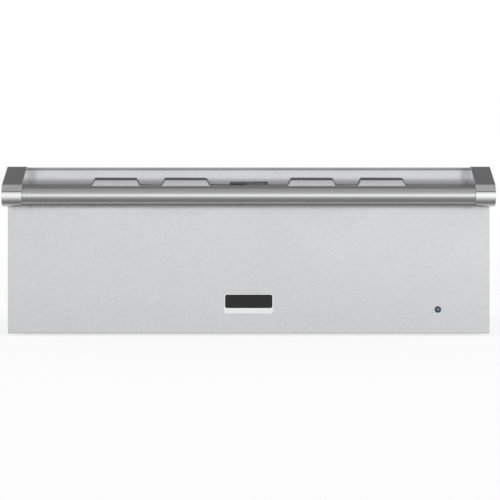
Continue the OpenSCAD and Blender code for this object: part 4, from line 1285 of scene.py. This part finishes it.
@dataclass
class Controls(Assembly):
    """The thermostat's knob and dial, the cable gland and the parts inside.

    The knob's face gives each ring's share of the grip's radius, its depth in mm and its flutes' depth. The
    gland's nut gives each ring's share of the radius and of the reach, and its ribs' depth.
    """

    flutes: int = 20
    knob_segments: int = 120
    grip_share: float = 0.9
    knob_face: Triples = ((0.3, 0.0, 0.0), (0.86, 0.0, 0.0), (0.95, 0.4, 0.045), (1.0, 1.4, 0.045))
    grip_end_mm: float = 4.2
    skirt_share: float = 0.97
    skirt_mm: tuple[float, float] = (3.2, 2.4)
    shaft_mm: float = 3.05
    shaft_gap_mm: float = 0.3
    pointer_mm: tuple[float, float] = (1.4, 0.3)
    pointer_edge_mm: float = 0.1
    pointer_sunk_mm: float = 0.05
    pointer_length: float = 0.5
    pointer_place: float = 0.52
    ribs: int = 16
    gland_segments: int = 96
    gland_nut: Triples = ((0.86, 0.3, 0.04), (0.92, 0.55, 0.04), (0.92, 0.62, 0.0), (1.0, 0.66, 0.0),
                          (1.0, 1.0, 0.0))
    gland_crown: float = 0.74
    gland_crown_mm: float = 1.0
    gland_bore_mm: float = 4.25
    gland_lip_mm: float = 1.2
    gland_neck_mm: float = 2.1

    def build(self) -> None:
        """Builds the knob and the gland, and dresses the inner parts."""
        self._knob()
        self._pointer()
        self._gland()
        self.softened("dial_ring", "badge_chrome", 0.1)
        self.softened("thermostat_body", "dark_resin", 0.6)
        self.softened("terminal_block", "pale_resin", 0.5)
        self.softened("junction_cover", "zinc_sheet", 0.35)
        self.softened("thermal_cutout", "dark_resin", 0.4)
        self.wardrobe.dress_nodes("heating_element", "element_clips", "thermostat_shaft", "thermostat_bulb",
                                  "bulb_clips", "indicator_led")

    def _knob(self) -> None:
        """Builds the fluted knob with a skirt."""
        knob = Box(*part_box("thermostat_knob"))
        radius, length = knob.radius, knob.size.y
        grip = radius * self.grip_share
        shaft = self.shaft_mm * MM
        profile = [(share * grip, -depth * MM, fluted) for share, depth, fluted in self.knob_face]
        profile += [(grip, self.grip_end_mm * MM - length, profile[-1][2]),
                    (radius * self.skirt_share, self.skirt_mm[0] * MM - length),
                    (radius, self.skirt_mm[1] * MM - length), (radius, -length), (shaft, -length),
                    (shaft, -length / 2 - self.shaft_gap_mm * MM)]
        placed = turned_to(Axis.FRONT, knob.face)
        self.turned("knob_fluted", "thermostat_knob", "knob_resin", profile, placed, smooth=40.0,
                    segments=self.knob_segments, lobes=self.flutes)

    def _pointer(self) -> None:
        """Builds the pale pointer set in the knob's face."""
        knob = Box(*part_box("thermostat_knob"))
        width, thickness = self.pointer_mm
        drop = Vector((0.0, self.pointer_sunk_mm * MM, -knob.radius * self.pointer_place))
        mesh = Mesh()
        mesh.cube(knob.face + drop, (width * MM, thickness * MM, knob.radius * self.pointer_length))
        mesh.bevel(mesh.bent(self.bend_deg), self.pointer_edge_mm * MM, self.edge_steps)
        piece = mesh.finish("knob_pointer", body_of("thermostat_knob"))
        self.wardrobe.dress(piece, "mark_white")

    def _gland(self) -> None:
        """Builds the gland: a ribbed dome nut, a flange and the neck through the back."""
        gland = Box(*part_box("cable_gland"))
        radius, depth = gland.radius, gland.size.y
        reach = gland.high.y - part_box("back_panel")[1].y
        neck = radius - self.gland_neck_mm * MM
        bore = self.gland_bore_mm * MM
        profile = [(bore, 0.0), (bore + self.gland_lip_mm * MM, 0.0),
                   (radius * self.gland_crown, -self.gland_crown_mm * MM)]
        profile += [(share * radius, -level * reach, ribbed) for share, level, ribbed in self.gland_nut]
        profile += [(neck, -reach), (neck, -depth), (bore, -depth)]
        placed = turned_to(Axis.BACK, Vector((gland.centre.x, gland.high.y, gland.centre.z)))
        self.turned("gland_nut", "cable_gland", "dark_resin", profile, placed, smooth=30.0,
                    segments=self.gland_segments, lobes=self.ribs, closed=True)


# Studio


@dataclass
class Studio:
    """The floor, the light and the camera at the photograph's place.

    The stops give the room's brightness at angles above the horizon, in degrees.
    """

    camera_distance: float = 2.3
    focal_px: float = 1480.0
    frame_px: float = 500.0
    sensor_mm: float = 36.0
    eye_x: float = 0.00202
    eye_z: float = 0.1337
    clip: tuple[float, float] = (0.05, 100.0)
    floor_size: float = 60.0
    floor_white: float = 0.62
    floor_paint: float = 0.82
    right_gain: float = 0.06
    turn_width: float = 0.3
    ramp_white: float = 2.0
    lamp_size: tuple[float, float] = (15.0, 1.3)
    lamp_at: tuple[float, float, float] = (1.5, -12.0, 1.25)
    lamp_aim: tuple[float, float, float] = (0.0, -0.3, 0.2)
    lamp_radiance: float = 0.8
    front_stops: Pairs = (
        (-90.0, 0.22), (-55.0, 0.23), (-39.0, 0.3), (-27.0, 0.43), (-15.0, 0.66), (-8.0, 0.92), (-4.0, 1.08),
        (-2.0, 1.19), (0.0, 1.31), (3.0, 1.34), (8.0, 1.14), (14.0, 0.9), (22.0, 0.71), (34.0, 0.54),
        (50.0, 0.46), (72.0, 0.43), (90.0, 0.36))
    back_stops: Pairs = (
        (-90.0, 0.6), (-20.0, 0.95), (-8.0, 1.0), (6.0, 1.0), (14.0, 0.75), (24.0, 0.42), (40.0, 0.28),
        (60.0, 0.16), (75.0, 0.18), (90.0, 0.33))

    def build(self) -> None:
        """Builds the studio."""
        bpy.context.scene.view_settings.view_transform = "Standard"
        self._camera()
        self._world()
        self._floor()
        self._lamp()

    def _camera(self) -> None:
        """Places the camera level with the middle of the front."""
        panel_low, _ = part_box("front_skin")
        data = bpy.data.cameras.new("camera")
        data.sensor_width = self.sensor_mm
        data.lens = self.sensor_mm * self.focal_px / self.frame_px
        data.clip_start, data.clip_end = self.clip
        camera = new_object("camera", data)
        camera.location = (self.eye_x, panel_low.y - self.camera_distance, self.eye_z)
        camera.rotation_euler = (math.radians(90.0), 0.0, 0.0)
        bpy.context.scene.camera = camera

    def _glow(self, tree: Tree, height: Socket, stops: Pairs) -> Socket:
        """Adds a brightness that follows the angle above the horizon.

        Args:
            tree: The tree to fill.
            height: The upward part of a direction, from -1 to 1.
            stops: Angles in degrees, each with its brightness.

        Returns:
            The brightness.
        """
        ramp = tree.feed(tree.node("ValToRGB"), Fac=tree.spread(height, -1.0, 1.0))
        ramp.color_ramp.interpolation = "LINEAR"
        while len(ramp.color_ramp.elements) < len(stops):
            ramp.color_ramp.elements.new(0.5)
        for element, (angle, value) in zip(ramp.color_ramp.elements, stops):
            grey = value / self.ramp_white
            element.position = 0.5 + 0.5 * math.sin(math.radians(angle))
            element.color = (grey, grey, grey, 1.0)
        return tree.math("MULTIPLY", ramp.outputs["Color"], self.ramp_white)

    def _room(self, tree: Tree, direction: Socket) -> Socket:
        """Adds the room's brightness in a direction: lit in front, white behind and dim overhead.

        Args:
            tree: The tree to fill.
            direction: The direction looked in.

        Returns:
            The brightness.
        """
        parts = tree.feed(tree.node("SeparateXYZ"), Vector=direction).outputs
        front = self._glow(tree, parts["Z"], self.front_stops)
        back = self._glow(tree, parts["Z"], self.back_stops)
        right = tree.spread(parts["X"], -self.turn_width, self.turn_width, 1.0 - self.right_gain,
                            1.0 + self.right_gain)
        share = tree.spread(parts["Y"], -self.turn_width, self.turn_width)
        lit = tree.math("MULTIPLY", front, right)
        return tree.math("ADD", lit, tree.math("MULTIPLY", share, tree.math("SUBTRACT", back, lit)))

    def _world(self) -> None:
        """Sets the surroundings, which the camera sees as plain white."""
        world = bpy.data.worlds.new("studio")
        world.use_nodes = True
        bpy.context.scene.world = world
        tree = Tree(world.node_tree)
        room = self._room(tree, tree.node("TexCoord").outputs["Generated"])
        seen = tree.node("LightPath").outputs["Is Camera Ray"]
        unseen = tree.math("SUBTRACT", 1.0, seen)
        strength = tree.math("ADD", seen, tree.math("MULTIPLY", unseen, room))
        background = tree.feed(tree.node("Background"), Color=(1.0, 1.0, 1.0, 1.0), Strength=strength)
        tree.feed(tree.node("OutputWorld"), Surface=background.outputs["Background"])

    def _floor(self) -> None:
        """Lays the pale floor. The camera sees it evenly lit, and the metal doesn't mirror it."""
        mesh = Mesh()
        bmesh.ops.create_grid(mesh.bm, x_segments=1, y_segments=1, size=self.floor_size / 2)
        floor = mesh.to_object("floor")
        material = bpy.data.materials.new("floor_paper")
        material.use_nodes = True
        tree = Tree(material.node_tree)
        paint = tree.feed(tree.node("BsdfDiffuse"), Color=(*(self.floor_paint,) * 3, 1.0))
        seen = tree.node("LightPath").outputs["Is Camera Ray"]
        glow = tree.feed(tree.node("Emission"), Strength=tree.math("MULTIPLY", seen, self.floor_white))
        both = tree.node("AddShader")
        tree.put(both.inputs[0], paint.outputs[0])
        tree.put(both.inputs[1], glow.outputs[0])
        tree.feed(tree.node("OutputMaterial"), Surface=both.outputs[0])
        floor.data.materials.append(material)
        floor.visible_glossy = False

    def _lamp(self) -> None:
        """Adds a long low lamp in front, which the metal doesn't mirror."""
        data = bpy.data.lights.new("front_softbox", "AREA")
        data.shape = "RECTANGLE"
        data.size, data.size_y = self.lamp_size
        data.energy = self.lamp_radiance * math.pi * self.lamp_size[0] * self.lamp_size[1]
        lamp = new_object("front_softbox", data)
        lamp.location = self.lamp_at
        aim = Vector(self.lamp_aim) - Vector(self.lamp_at)
        lamp.rotation_euler = aim.to_track_quat("-Z", "Y").to_euler()
        lamp.visible_glossy = False


def main() -> None:
    """Builds the object in order and reports each piece."""
    logging.basicConfig(level=logging.INFO, format="%(message)s")
    wardrobe = Wardrobe(FINISHES)
    Studio().build()
    for assembly in (FrontPanel, Handle, BadgeAndLamp, PanAndRails, Slides, Gasket, Case, Screws, Controls):
        assembly(wardrobe).build()
        LOG.info("%s is built", assembly.__name__)


if __name__ == "__main__":
    main()
